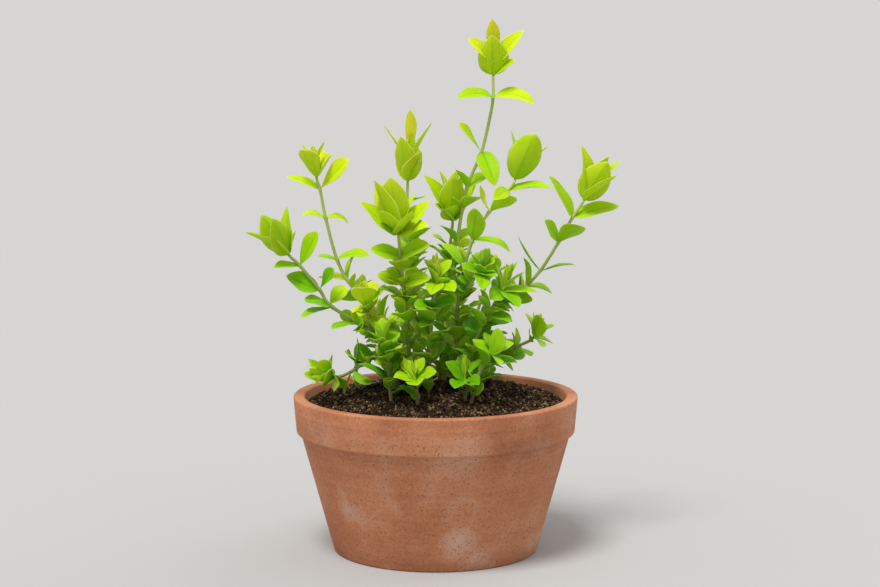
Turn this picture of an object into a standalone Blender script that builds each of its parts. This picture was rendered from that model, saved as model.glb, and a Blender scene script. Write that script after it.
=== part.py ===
"""Potted bacopa: branching leafy stems in a mound of soil, in a plain clay pot.

Units are metres, +Z is up, and the origin is the middle of the pot's foot.
The stems' places are given in millimetres from the top of the soil's middle.
"""

import math

import bmesh
import bpy
from mathutils import Matrix, Vector
from mathutils.bvhtree import BVHTree

MM = 0.001
GAP = 0.3 * MM

# Clay pot
POT_HEIGHT = 55 * MM
RIM_RADIUS = 50 * MM
RIM_BAND_HEIGHT = 13 * MM
RIM_STEP = 2.5 * MM
FOOT_RADIUS = 36 * MM
POT_WALL = 4 * MM
POT_BASE = 5 * MM
DRAIN_RADIUS = 5.5 * MM
POT_EDGE = 1 * MM
POT_SIDES = 24

# Soil
SOIL_CROWN = POT_HEIGHT + 3 * MM
SOIL_EDGE = POT_HEIGHT - 3 * MM
SOIL_LUMP = 0.7 * MM
LUMP_PITCH = 4.5 * MM
SOIL_RINGS = (0.28, 0.56, 0.8)
SOIL_SIDES = 24

# Stems
STEM_RADIUS_LOW = 0.7 * MM
STEM_RADIUS_TOP = 0.52 * MM
CROWN_GAP = 0.4 * MM
SOCKET_LENGTH = 10 * MM
CROWN_TAPER = 0.35
FORK_GAP = 0.7 * MM

# Leaves
LEAF_HALF_THICKNESS = 0.34 * MM
LEAF_CUP = 0.12
LEAF_FULLNESS = 0.65
LEAF_FULLEST = 0.53
LEAF_CLEARANCE = 0.35 * MM
COLLAR_WALL = 0.7 * MM
COLLAR_HEIGHT = 1.4 * MM
COLLAR_SIDES = 6
BASE_LOW = 0.3
BASE_HIGH = 0.25
LEAF_RINGS = 4
SMALL_LEAF_RINGS = 3
SMALL_LEAF = 12.4
SMALL_TIP_LEAF = 10.2
BASE_OUT = 0.3 * MM
BASE_UP = 0.23 * MM
TURNS = (0, 12, -12, 24, -24, 36, -36, 48, -48, 62, -62, 76, -76, 90, -90)
SIZES = (1.0, 0.85, 0.7, 0.58, 0.48)

# A leaf is (station, azimuth, length, width, rise, droop, roll, fullest). The station is its place
# along the axis, counted in route points. Azimuth 0 is +X. Rise is the chord's angle above the plane
# square to the axis, droop the turn of the midrib from base to tip, roll the turn about the chord.
# Fullest is where along its length the leaf is widest; LEAF_FULLEST stands where it isn't given.
SHOOTS = {
    "tall": {
        "route": [(3, 4, -6), (3.5, 5, 12.5), (5.5, 6, 31), (7.5, 7, 49.5), (11, 6, 69),
                  (16, 5, 81.5), (19, 5, 94), (20, 5, 100.5), (20, 5, 106.5)],
        "pairs": {
            "tall_upper_leaves": [(7, -155, 13.5, 6.5, -5, 60, -30, 0.45),
                                  (7, -25, 15.5, 7.5, -5, 75, 30, 0.42)],
            "tall_middle_leaves": [(5, -160, 13, 5, 35, 20, -30, 0.7),
                                   (5, -50, 14.5, 7.5, -40, 30, 40, 0.4)],
        },
        "nodes": (0.5, 0.85, 1.2, 1.65, 2.1, 2.55, 3.0, 3.6, 4.0),
        "axis": [(20, 5, 112), (20, 5, 117.5)],
        "crown": [(0, -95, 15, 11, 70, -20, 0, 0.36), (0, 80, 14, 10.5, 60, -20, 0, 0.36),
                  (1, -165, 12.5, 5.5, 45, 30, -50, 0.6), (1, -10, 15.5, 6.5, 50, 5, 50, 0.42),
                  (2, -100, 11.5, 5, 80, 0, 0, 0.5), (0, -30, 10, 6, 30, 10, 40, 0.55)],
    },
    "oval_bud": {
        "route": [(7, -6, -5.5), (7, -9, 14.5), (8, -12, 33), (12.5, -14, 52.5), (18.5, -14, 62.5),
                  (24.5, -14, 69.5), (26.5, -14, 72)],
        "pairs": {
            "oval_bud_upper_leaves": [(5, -15, 15, 8, 45, 40, 30, 0.42),
                                      (5, -105, 12.5, 5, -25, 30, 0, 0.5)],
            "oval_bud_middle_leaves": [(4, -165, 9, 5.5, 35, -40, -20, 0.6),
                                       (4, -65, 11, 8, 55, 20, 40, 0.6)],
            "oval_bud_lower_leaves": [(3, -115, 13, 7.5, 65, 20, 0, 0.5),
                                      (3, -15, 13.5, 6, 5, 60, 20, 0.5)],
        },
        "nodes": (0.45, 0.8, 1.2, 1.6, 2.0, 2.45),
        "axis": [(28, -14, 76.5), (29.5, -14, 82)],
        "crown": [(0, -80, 17.5, 11, 77, -25, 0, 0.48), (0, 95, 16.5, 10, 72, -25, 0, 0.45),
                  (1, 160, 13.5, 3.5, 65, 0, 0, 0.4), (1, 15, 13, 3.5, 55, 0, 0, 0.4),
                  (2, 70, 6.5, 3, 80, 0, 0, 0.5)],
    },
    "right": {
        "route": [(11.5, 2, -6), (12, 4, 14.5), (18.5, 6, 24.5), (31, 8, 33.5), (37, 9, 39.5),
                  (43.5, 10, 49.5), (48.5, 10, 58.5), (51.5, 10, 63)],
        "pairs": {
            "right_upper_leaves": [(6, -165, 17, 7.5, 30, 10, -40, 0.4),
                                   (6, 10, 16.5, 7, 45, 30, 25, 0.4)],
            "right_middle_leaves": [(5, -145, 11, 6, 20, 20, -60, 0.55),
                                    (5, -70, 13, 9, 45, 15, 75, 0.6)],
            "right_lower_leaves": [(4, 165, 14, 4.5, 20, -20, 0, 0.5),
                                   (4, -20, 12, 5, 50, 30, 20, 0.55)],
        },
        "nodes": (0.45, 0.8, 1.3, 1.9, 2.5, 3.1),
        "axis": [(54, 10, 67.5), (55.5, 10, 71)],
        "crown": [(0, -90, 16.5, 11, 75, -20, 0, 0.45), (0, 95, 15, 9.5, 70, -20, 0, 0.45),
                  (1, -165, 16.5, 8.5, 55, 0, -55, 0.36), (1, 0, 15.5, 5, 72, 10, 30, 0.4),
                  (0, -50, 15.5, 9, 62, -10, 30, 0.45)],
    },
    "upright": {
        "route": [(-4.5, 10, -6.5), (-6.5, 12, 14), (-9, 14, 35), (-9.5, 14, 51), (-10, 14, 63),
                  (-10, 14, 68.5)],
        "pairs": {},
        "nodes": (0.5, 0.8, 1.1, 1.5, 1.9, 2.35, 2.8, 3.35),
        "own": [(4, 140, 6.5, 4, 20, 20, 0), (4, -45, 9, 4.5, 15, 20, 0)],
        "axis": [(-9.5, 14, 77), (-9, 14, 86)],
        "crown": [(0, -115, 17.5, 10, 68, -22, 0, 0.42), (0, 85, 16.5, 9.5, 65, -25, 0, 0.42),
                  (1, 180, 16.5, 4, 55, 5, 0, 0.45), (1, -10, 17, 5.5, 65, 5, 0, 0.4),
                  (2, -115, 12.5, 4.5, 85, 0, 0, 0.5), (0, -55, 13, 8, 60, -15, 15, 0.4)],
    },
    "left_centre": {
        "route": [(-8, -8, -5), (-9.5, -14, 20.5), (-11, -18, 38), (-12, -20, 47.5),
                  (-12.5, -21, 54)],
        "pairs": {
            "left_centre_leaves": [(3, -165, 10, 6, 25, 30, -40, 0.4), (3, -25, 11.5, 7, 25, 30, 40, 0.45)],
        },
        "nodes": (0.8, 1.2, 1.6, 2.45),
        "own": [(2, 160, 9.5, 5.5, 20, 20, -40, 0.45), (2, -30, 11, 6, 15, 30, 40, 0.45)],
        "axis": [(-13, -21, 57.5), (-13.5, -21, 60.5)],
        "crown": [(0, -130, 21, 9.5, 70, -15, -20, 0.42), (1, -85, 18.5, 10.5, 70, -20, 0, 0.45),
                  (0, -160, 17, 9, 50, -15, -50, 0.4), (0, -5, 15.5, 8.5, 40, -10, 45, 0.4),
                  (0.4, -112, 14, 8, 38, -15, -20, 0.42), (0.3, -62, 14, 8, 34, -15, 20, 0.42),
                  (0, -30, 12, 8, 10, 15, 40, 0.45), (0.8, 5, 13, 6.5, 55, 0, 30, 0.4),
                  (1, 130, 17, 8, 65, -10, -40, 0.4), (2, 55, 12, 6, 70, 0, 0, 0.4)],
    },
    "right_centre": {
        "route": [(1.5, 8, -6), (2.5, 10, 14.5), (4, 11, 36), (5, 12, 47), (6, 12, 55.5)],
        "pairs": {},
        "nodes": (0.8, 1.2, 1.6, 2.0, 2.5),
        "own": [(3, -135, 10, 6, 25, 25, -30, 0.45), (3, 25, 10, 6, 20, 25, 30, 0.45)],
        "axis": [(6, 12, 59.5), (6.5, 12, 62.5)],
        "crown": [(0, -165, 19, 9, 60, 0, -45, 0.4), (1, -160, 16, 7.5, 70, 0, -35, 0.4),
                  (0, -100, 18, 10, 62, -15, 0, 0.45), (1, -65, 15, 8.5, 70, 0, 30, 0.4),
                  (0, 0, 15, 7.5, 58, 5, 45, 0.4), (0.2, -125, 12.5, 8, 30, 5, -30, 0.42),
                  (0.2, -60, 12.5, 7.5, 28, 10, 25, 0.42), (1, 80, 14, 7, 52, 0, 0, 0.4)],
    },
    "upper_left": {
        "route": [(-9.5, 14, -6.5), (-13, 18, 10.5), (-20, 20, 22.5), (-30.5, 21, 33),
                  (-35.5, 22, 42), (-39.5, 22, 57), (-41.5, 22, 67.5), (-42.5, 22, 70.5)],
        "pairs": {
            "upper_left_top_leaves": [(6, 175, 12, 5, 35, 30, -20, 0.4), (6, -20, 15, 7, 35, 10, 40, 0.68)],
            "upper_left_middle_leaves": [(5, -165, 8, 5, 25, 60, -20, 0.45),
                                         (5, 15, 8, 5, -30, 60, 20, 0.45)],
            "upper_left_lower_leaves": [(4, -160, 6.5, 4.5, 35, 30, -30, 0.5),
                                        (4, -15, 11.5, 6, -15, 50, 20, 0.5)],
        },
        "nodes": (0.5, 0.9, 1.4, 1.9, 2.5, 3.2),
        "axis": [(-43, 22, 74.5), (-43.5, 22, 78)],
        "crown": [(0, -120, 12.5, 9, 60, -20, 0, 0.68), (0, 80, 11.5, 8.5, 55, -20, 0, 0.62),
                  (0, -20, 10, 6.5, 50, -10, 25, 0.6), (1, 165, 10, 4, 70, 0, 0, 0.45),
                  (2, 0, 8, 3.5, 55, 0, 0, 0.45)],
    },
    "far_left": {
        "route": [(-12, -2, -6), (-17, -4, 15), (-26.5, -6, 22.5), (-36.5, -9, 29.5),
                  (-40, -10, 35), (-46.5, -12, 43.5), (-49.5, -13, 46.5)],
        "pairs": {
            "far_left_upper_leaves": [(5, 5, 12.5, 7.5, 25, 10, 40, 0.62),
                                      (5, -150, 9, 6, 45, 30, -30, 0.5)],
            "far_left_lower_leaves": [(4, -145, 12, 8, 65, 20, -50, 0.5),
                                      (4, -5, 8.5, 5, 25, 15, 40, 0.7)],
        },
        "nodes": (0.45, 0.8, 1.3),
        "own": [(3, 20, 8.5, 6.5, -5, 15, 40, 0.6), (3, -135, 10.5, 8, 55, 15, -60, 0.5),
                (2.9, -140, 14, 6.5, 35, 20, -30, 0.5), (2, -140, 12, 6, 45, 30, -30, 0.5),
                (2, 15, 8.5, 6, 5, 15, 30, 0.5)],
        "axis": [(-52, -13, 49.5), (-53.5, -14, 52)],
        "crown": [(0, -140, 17, 9.5, 63, 10, -40, 0.42), (0, 10, 16.5, 8.5, 50, 5, 30, 0.38),
                  (1, -55, 14.5, 9, 80, -5, 0, 0.38), (0, -55, 16.5, 9.5, 50, -15, 0, 0.42),
                  (0, -5, 8.5, 4.5, 30, 10, 20, 0.5)],
    },
    "small_bud": {
        "fork": ("far_left", 1.7),
        "route": [(-22.5, -11, 24.5), (-23.5, -13.5, 28.5)],
        "pairs": {},
        "nodes": (),
        "axis": [(-24, -14.5, 31.5), (-24.5, -15, 34)],
        "crown": [(0, -150, 5.5, 4.5, 0, 15, 0), (0, 15, 10, 4, 40, -10, 0, 0.6),
                  (0, -90, 12, 9, 60, -15, 0, 0.65), (1, 45, 7.5, 7, 40, -10, 10, 0.6)],
    },
    "low_left": {
        "route": [(-15, -21, -4), (-16, -22, 8), (-17, -24, 16.5)],
        "pairs": {},
        "nodes": (0.7, 1.4),
        "axis": [(-17.5, -24, 19), (-18, -24, 20.5)],
        "crown": [(0, -130, 8.5, 6, 45, 15, -20), (0, 20, 6.5, 6, 25, 20, 20),
                  (1, 75, 8.5, 5.5, 60, 0, 0), (0.5, -110, 9, 5, 15, 20, 0),
                  (1.3, -20, 8.5, 5, 50, 5, 0)],
    },
    "right_middle": {
        "route": [(10, -14, -4), (13, -17, 16), (18, -18, 27.5), (22, -19, 34.5)],
        "pairs": {},
        "nodes": (0.7, 1.1, 1.5, 2.5),
        "own": [(2, 135, 7.5, 5, 30, 15, 0), (2, -40, 9.5, 6.5, 15, 25, 30)],
        "axis": [(23, -19, 37), (24, -19, 39.5)],
        "crown": [(0, 0, 12, 5.5, 20, 25, 20), (0, 170, 9, 5, 55, 5, 0),
                  (1, -10, 8.5, 5.5, 60, 5, 0), (2, 150, 6, 3.5, 70, 0, 0),
                  (0, -45, 10, 7, -15, 30, 20), (0, -115, 8.5, 6, -25, 25, -20)],
    },
    "low_right": {
        "route": [(14, 9, -6), (20.5, 10, 6), (28.5, 9, 12), (34, 8, 15)],
        "pairs": {},
        "nodes": (1.3,),
        "own": [(2, 150, 7.5, 5, 25, 10, 0), (2, -45, 9, 5.5, 25, 20, 30)],
        "axis": [(35.5, 8, 17.5), (36.5, 8, 19)],
        "crown": [(0, -125, 10, 7, 55, 0, 0), (0, 25, 8.5, 5.5, 10, 15, 0),
                  (1, -25, 7, 5.5, 50, 5, 20), (1, 165, 7.5, 5, 30, 5, 0),
                  (0, -65, 8.5, 6, -5, 25, 0)],
    },
    "front_right": {
        "route": [(11.5, -24, -4), (15, -26, 8.5), (18, -27, 14)],
        "pairs": {},
        "nodes": (0.7, 1.4),
        "axis": [(19, -27, 16), (19.5, -27, 17.5)],
        "crown": [(0, -135, 10, 7.5, 75, -5, 0), (0, 0, 8.5, 6, 55, 15, 20),
                  (0, 160, 8, 6, 10, 10, -20), (1, 130, 8, 5.5, 35, 0, 0),
                  (0, -65, 7.5, 6.5, -5, 25, 0)],
    },
    "creeping": {
        "route": [(-12, -10, -5), (-15.5, -10, 9.5), (-20.5, -11, 12), (-24.5, -12, 10),
                  (-28, -12, 7.5), (-31.5, -12, 5.6), (-34, -12, 5)],
        "pairs": {},
        "nodes": (0.8, 2.0),
        "own": [(4, 180, 11.5, 4.5, -40, -35, 0), (4, -30, 10.5, 6, -20, 20, 40)],
        "axis": [(-36, -12.2, 5.2), (-37.2, -12.6, 6.6)],
        "crown": [(0, -150, 11.5, 7, 20, 15, -30, 0.45), (0, -60, 10, 7.5, -25, 20, 40, 0.5),
                  (0, -100, 12.5, 8, -5, 20, 0, 0.5), (0, 120, 9, 6.5, 15, 20, 0),
                  (1, 175, 9.5, 4.5, 65, -20, -30, 0.45), (1, -130, 9.5, 6.5, 35, 10, -20, 0.45),
                  (1, 25, 7.5, 6, 15, 15, 0), (2, -80, 7, 5.5, 70, -10, 0, 0.45)],
    },
    "front_centre": {
        "route": [(-6, -26, -4), (-6.5, -27, 5)],
        "pairs": {},
        "nodes": (),
        "axis": [(-7, -27, 7), (-7, -27, 8.5)],
        "crown": [(0, -155, 8, 7, 25, 20, -30), (0, -20, 8, 7, 10, 20, 30),
                  (0, -85, 10, 7, 0, 20, 0), (1, 40, 7.5, 6, 50, 0, 0),
                  (1, 120, 8, 6, 45, 0, 0), (2, 180, 5, 4, 90, 0, 0)],
    },
    "front_low": {
        "route": [(10, -22, -4), (10, -23, 4.5)],
        "pairs": {},
        "nodes": (),
        "axis": [(10, -23, 6.5), (10, -23, 8.5)],
        "crown": [(0, -170, 9, 7, 45, 10, -40), (0, -110, 10.5, 6.5, -5, 20, 0),
                  (1, 10, 8, 6, 45, 5, 0), (0, -35, 8.5, 6, 0, 20, 30),
                  (1, 110, 8, 5.5, 65, 0, 0)],
    },
    "centre": {
        "route": [(-2.5, -14, -4), (-2, -17, 16), (-1, -20, 30.5), (0.5, -20, 37)],
        "pairs": {},
        "nodes": (0.7, 1.15, 1.55, 2.5),
        "own": [(2, -125, 10, 6, 5, 25, -30), (2, -25, 9, 6, 25, 25, 30)],
        "axis": [(0.5, -20, 39.5), (0.5, -20, 41.5)],
        "crown": [(0, -55, 10, 7, -10, 25, 20), (0, -165, 7.5, 6.5, 0, 25, -20),
                  (1, -155, 8.5, 6, 60, 5, 0), (1, 35, 8.5, 6, 50, 5, 0),
                  (0, -100, 11.5, 6.5, -10, 30, 0), (2, 0, 5.5, 4.5, 85, 0, 0)],
    },
    "middle": {
        "fork": ("oval_bud", 2.05),
        "route": [(12, -19, 38.5), (14, -20, 41.5)],
        "pairs": {},
        "nodes": (),
        "axis": [(15, -20, 43.5), (15.5, -20, 45)],
        "crown": [(0, -35, 7, 6, 15, 20, 30), (1, 30, 6, 5.5, 50, 5, 0),
                  (0, -130, 9, 6, -5, 20, -20), (1, -160, 6, 5.5, 35, 0, 0),
                  (2, 180, 5, 4.5, 75, 0, 0), (0, -70, 11, 6.5, -20, 30, 0)],
    },
    "back_left": {
        "route": [(-2.5, 20, -6), (-5.5, 28, 9), (-8, 34, 24.5), (-9.5, 37, 38)],
        "pairs": {},
        "nodes": (1.0, 1.5),
        "own": [(2, 145, 10.5, 6, 30, 25, 0), (2, -45, 11.5, 6, 0, 25, 0)],
        "axis": [(-10, 38, 41), (-10, 39, 43)],
        "crown": [(0, 155, 10, 6.5, 45, 25, 0), (0, -30, 8.5, 6.5, 10, 25, 0),
                  (1, 90, 11.5, 6, 50, 15, 0), (1, -70, 12, 6, 20, 5, 0),
                  (2, -85, 6.5, 4.5, 65, 0, 0)],
    },
    "back_right": {
        "route": [(7.5, 18, -6), (10.5, 26, 6.5), (15, 33, 20.5), (18.5, 36, 31)],
        "pairs": {},
        "nodes": (1.0, 1.5),
        "own": [(2, 0, 9.5, 6, 30, 25, 0), (2, 155, 8.5, 6, 15, 25, 0)],
        "axis": [(19, 37, 34), (20, 38, 36)],
        "crown": [(0, 15, 10, 6.5, 45, 25, 0), (0, -170, 7, 6.5, 10, 25, 0),
                  (1, 95, 11.5, 6, 55, 15, 0), (1, -80, 10, 6, 35, 5, 0),
                  (2, -110, 7, 4.5, 65, 0, 0)],
    },
    "back_low": {
        "route": [(3.5, 26, -6), (4.5, 31, 3), (6, 34, 9.5)],
        "pairs": {},
        "nodes": (1.2,),
        "axis": [(6.5, 35, 11.5), (6.5, 36, 13.5)],
        "crown": [(0, 150, 8.5, 6.5, 15, 20, 0), (0, 0, 8, 6.5, 30, 20, 0),
                  (1, 85, 9, 6, 45, 10, 0), (1, -100, 9.5, 6, 40, 5, 0)],
    },
    "back_low_left": {
        "route": [(-10, 22, -6), (-13.5, 28, 3), (-15.5, 31, 8)],
        "pairs": {},
        "nodes": (),
        "axis": [(-16, 31, 10), (-16.5, 32, 12)],
        "crown": [(0, 160, 8.5, 6.5, 25, 20, 0), (0, 25, 7.5, 6.5, 15, 20, 0),
                  (1, 90, 9.5, 6, 35, 10, 0), (1, -65, 9, 6, 40, 5, 0)],
    },
}

# A plain node's two leaves: each pair stands crosswise to the one below it.
NODE_START = 35
NODE_TURN = 90
NODE_LENGTH = 10.8
NODE_SWING = 1.5
NODE_WIDTH = 0.74
NODE_RISE = 35
NODE_DROOP = 30
NODE_FULLEST = 0.55


for old in list(bpy.data.objects):
    bpy.data.objects.remove(old, do_unlink=True)

PARTS = bpy.data.collections.new("potted_bacopa")
CUTTERS = bpy.data.collections.new("cutters")
bpy.context.scene.collection.children.link(PARTS)
bpy.context.scene.collection.children.link(CUTTERS)


def material(name, colour, roughness):
    made = bpy.data.materials.new(name)
    made.use_nodes = True
    shader = made.node_tree.nodes["Principled BSDF"]
    shader.inputs["Base Color"].default_value = (*colour, 1.0)
    shader.inputs["Roughness"].default_value = roughness
    shader.inputs["Metallic"].default_value = 0.0
    return made


CLAY = material("terracotta", (0.50, 0.20, 0.10), 0.85)
EARTH = material("soil", (0.035, 0.019, 0.010), 0.95)
STALK = material("stem_green", (0.19, 0.27, 0.045), 0.55)
LEAF_GREEN = material("leaf_green", (0.16, 0.33, 0.02), 0.45)
CROWN_GREEN = material("crown_green", (0.36, 0.52, 0.03), 0.45)


def keep(obj, surface):
    """A finished piece: in the parts' collection, with its material."""
    obj.data.materials.clear()
    obj.data.materials.append(surface)
    PARTS.objects.link(obj)
    return obj


def hide(obj, collection):
    """A cutter or a leaf that is joined to another piece."""
    obj.hide_render = True
    obj.display_type = "WIRE"
    collection.objects.link(obj)
    return obj


# Pot
def inner_radius(z):
    """Radius of the pot's inner wall at height z."""
    low = FOOT_RADIUS - POT_WALL
    high = RIM_RADIUS - POT_WALL
    return low + (high - low) * (z - POT_BASE) / (POT_HEIGHT - POT_BASE)


def turned(name, profile, sides):
    """A solid turned about Z. Its profile runs down the outer side."""
    mesh = bpy.data.meshes.new(name)
    bm = bmesh.new()
    ring = [bm.verts.new((r, 0, z)) for r, z in profile]
    for a, b in zip(ring, ring[1:] + ring[:1]):
        bm.edges.new((a, b))
    bm.to_mesh(mesh)
    bm.free()
    obj = bpy.data.objects.new(name, mesh)
    screw = obj.modifiers.new("turn", "SCREW")
    screw.steps = sides
    screw.render_steps = sides
    screw.use_merge_vertices = True
    screw.merge_threshold = 0.00001
    return obj


band = POT_HEIGHT - RIM_BAND_HEIGHT
body_top = RIM_RADIUS - RIM_STEP - POT_EDGE
pot = turned("pot", [
    (inner_radius(POT_HEIGHT), POT_HEIGHT - POT_EDGE),
    (inner_radius(POT_HEIGHT) + POT_EDGE, POT_HEIGHT),
    (RIM_RADIUS - POT_EDGE, POT_HEIGHT),
    (RIM_RADIUS, POT_HEIGHT - POT_EDGE),
    (RIM_RADIUS - POT_EDGE, band + POT_EDGE),
    (RIM_RADIUS - 2 * POT_EDGE, band),
    (body_top, band),
    (FOOT_RADIUS, POT_EDGE),
    (FOOT_RADIUS - POT_EDGE, 0),
    (DRAIN_RADIUS + POT_EDGE, 0),
    (DRAIN_RADIUS, POT_EDGE),
    (DRAIN_RADIUS, POT_BASE),
    (inner_radius(POT_BASE), POT_BASE),
], POT_SIDES)
keep(pot, CLAY)


# Soil
def soil_height(x, y):
    """Height of the soil's mounded top."""
    out = min(1.0, (x * x + y * y) / inner_radius(SOIL_EDGE) ** 2)
    lump = math.sin(x / LUMP_PITCH + 1) * math.cos(y / LUMP_PITCH) * (1 - out)
    return SOIL_EDGE + (SOIL_CROWN - SOIL_EDGE) * (1 - out) + SOIL_LUMP * lump


soil_edge = inner_radius(SOIL_EDGE) - GAP
soil_foot = inner_radius(POT_BASE) - GAP
rings = [(0, SOIL_CROWN)] + [(soil_edge * part, SOIL_CROWN) for part in SOIL_RINGS]
soil = turned("soil", rings + [
    (soil_edge, SOIL_EDGE),
    (soil_foot, POT_BASE + GAP),
    (0, POT_BASE + GAP),
], SOIL_SIDES)
bpy.context.scene.collection.objects.link(soil)
bpy.context.view_layer.update()
shaped = bpy.data.meshes.new_from_object(soil.evaluated_get(bpy.context.evaluated_depsgraph_get()))
bpy.data.objects.remove(soil)
bm = bmesh.new()
bm.from_mesh(shaped)
bmesh.ops.remove_doubles(bm, verts=bm.verts, dist=0.00001)
bmesh.ops.dissolve_degenerate(bm, edges=bm.edges, dist=0.000001)
for vert in bm.verts:
    if vert.co.z > SOIL_EDGE - GAP:
        vert.co.z = soil_height(vert.co.x, vert.co.y)
bmesh.ops.recalc_face_normals(bm, faces=bm.faces)
bm.to_mesh(shaped)
bm.free()
soil = bpy.data.objects.new("soil", shaped)
keep(soil, EARTH)


# Stems
class Axis:
    """A smooth line through hand-set points, read by station: point 2 is station 2.

    The stem runs up to the station called end, and the growing tip goes on from there.
    """

    def __init__(self, stem_points, crown_points):
        self.points = stem_points + crown_points
        self.end = len(stem_points) - 1
        self.last = len(self.points) - 1

    def at(self, station):
        last = self.last
        i = min(int(station), last - 1)
        t = station - i
        p1, p2 = self.points[i], self.points[i + 1]
        p0 = self.points[i - 1] if i else p1 - (p2 - p1)
        p3 = self.points[i + 2] if i + 2 <= last else p2 + (p2 - p1)
        return 0.5 * (2 * p1 + (p2 - p0) * t + (2 * p0 - 5 * p1 + 4 * p2 - p3) * t * t
                      + (3 * p1 - p0 - 3 * p2 + p3) * t ** 3)

    def tangent(self, station):
        a, b = max(0, station - 0.05), min(self.last, station + 0.05)
        return (self.at(b) - self.at(a)).normalized()

    def radius(self, station):
        if station <= self.end:
            return STEM_RADIUS_LOW + (STEM_RADIUS_TOP - STEM_RADIUS_LOW) * station / self.end
        return STEM_RADIUS_TOP * (1 - CROWN_TAPER * (station - self.end) / (self.last - self.end))


def rod(name, points, radii):
    """A round rod along points, as a mesh with welded caps."""
    curve = bpy.data.curves.new(name, "CURVE")
    curve.dimensions = "3D"
    curve.bevel_depth = 1.0
    curve.bevel_resolution = 1
    curve.use_fill_caps = True
    spline = curve.splines.new("POLY")
    spline.points.add(len(points) - 1)
    for knot, place, radius in zip(spline.points, points, radii):
        knot.co = (*place, 1)
        knot.radius = radius
    drawn = bpy.data.objects.new(name, curve)
    bpy.context.scene.collection.objects.link(drawn)
    bpy.context.view_layer.update()
    graph = bpy.context.evaluated_depsgraph_get()
    mesh = bpy.data.meshes.new_from_object(drawn.evaluated_get(graph))
    bpy.data.objects.remove(drawn)
    bpy.data.curves.remove(curve)
    bm = bmesh.new()
    bm.from_mesh(mesh)
    bmesh.ops.remove_doubles(bm, verts=bm.verts, dist=0.00001)
    bm.to_mesh(mesh)
    bm.free()
    mesh.name = name
    return bpy.data.objects.new(name, mesh)


def placed(points):
    """Plan points in millimetres above the soil's middle, as metres in the part's frame."""
    return [Vector((x * MM, y * MM, SOIL_CROWN + z * MM)) for x, y, z in points]


standing = []


def stand(owner, mesh):
    """Notes a mesh that later leaves of other owners keep clear of."""
    corners = [v.co.copy() for v in mesh.vertices]
    faces = [tuple(p.vertices) for p in mesh.polygons]
    standing.append((owner, BVHTree.FromPolygons(corners, faces)))


axes = {}
stems = {}
sockets = bpy.data.collections.new("sockets")
CUTTERS.children.link(sockets)
for name, shoot in SHOOTS.items():
    route = placed(shoot["route"])
    if "fork" in shoot:
        parent, station = shoot["fork"]
        start = axes[parent].at(station)
        away = route[0] - start
        along = axes[parent].tangent(station)
        away = (away - along * away.dot(along)).normalized()
        route.insert(0, start + away * (axes[parent].radius(station) + FORK_GAP))
    axis = Axis(route, placed(shoot["axis"]))
    axes[name] = axis
    borne = [leaf[0] for leaf in shoot.get("own", ())]
    stations = sorted({*range(axis.end + 1), *shoot["nodes"], *borne})
    points = [axis.at(s) for s in stations]
    stem = rod(name + "_stem", points, [axis.radius(s) for s in stations])
    stems[name] = keep(stem, STALK)
    stand(name + "_stem", stem.data)
    if "fork" not in shoot:
        deep = points[0] - axis.tangent(0) * GAP
        inside = [p for p in points if (p - points[0]).length < SOCKET_LENGTH]
        hole = [deep] + points[:len(inside) + 1]
        wide = [axis.radius(0) + GAP] * len(hole)
        hide(rod(name + "_socket", hole, wide), sockets)

cut = soil.modifiers.new("sockets", "BOOLEAN")
cut.operation = "DIFFERENCE"
cut.operand_type = "COLLECTION"
cut.collection = sockets


# Leaves
def leaf_mesh(name, base, along, leaf, rings, extra=0.0):
    """A closed leaf: a three-sided ball, with two edges and a keel, laid along a bent midrib."""
    length, width = leaf[1] * MM, leaf[2] * MM
    azimuth, rise, droop, roll = (math.radians(v) for v in (leaf[0], *leaf[3:6]))
    power = math.log(0.5) / math.log(leaf[6])
    flat = Vector((math.cos(azimuth), math.sin(azimuth), 0))
    out = (flat - along * flat.dot(along)).normalized()
    bend = droop if abs(droop) > 0.01 else 0.01
    first = rise + bend / 2
    chord = out * math.cos(rise) + along * math.sin(rise)
    spin = Matrix.Rotation(roll, 3, chord)

    def midrib(t):
        turn = first - bend * t
        place = (out * (math.sin(first) - math.sin(turn)) + along * (math.cos(turn) - math.cos(first)))
        return place * (length / bend)

    bm = bmesh.new()
    bmesh.ops.create_uvsphere(bm, u_segments=3, v_segments=rings, radius=1)
    for vert in bm.verts:
        x, y, z = vert.co
        t = (1 - z) / 2
        turn = first - bend * t
        normal = along * math.cos(turn) - out * math.sin(turn)
        side = (out * math.cos(turn) + along * math.sin(turn)).cross(normal)
        corner = round(math.atan2(y, x) / (2 * math.pi / 3)) % 3
        reach, lift = 0, 0
        if 0.001 < t < 0.999:
            half = width / 2 * math.sin(math.pi * t ** power) ** LEAF_FULLNESS
            reach = (half + extra) * (0, 1, -1)[corner]
            lift = LEAF_CUP * half + extra if corner else -LEAF_HALF_THICKNESS - extra
        vert.co = base + spin @ (midrib(t) + side * reach + normal * lift)
    bmesh.ops.triangulate(bm, faces=bm.faces)
    mesh = bpy.data.meshes.new(name)
    bm.to_mesh(mesh)
    bm.free()
    return mesh


def blocked(owner, mesh):
    """True where the mesh meets another owner's piece, the soil or the pot."""
    for vert in mesh.vertices:
        x, y, z = vert.co
        if math.hypot(x, y) > inner_radius(SOIL_EDGE) - 1.5 * MM:
            if z < POT_HEIGHT + GAP:
                return True
        elif z < soil_height(x, y) + 0.5 * MM:
            return True
    corners = [v.co.copy() for v in mesh.vertices]
    faces = [tuple(p.vertices) for p in mesh.polygons]
    tree = BVHTree.FromPolygons(corners, faces)
    return any(tree.overlap(other) for who, other in standing if who != owner)


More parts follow.
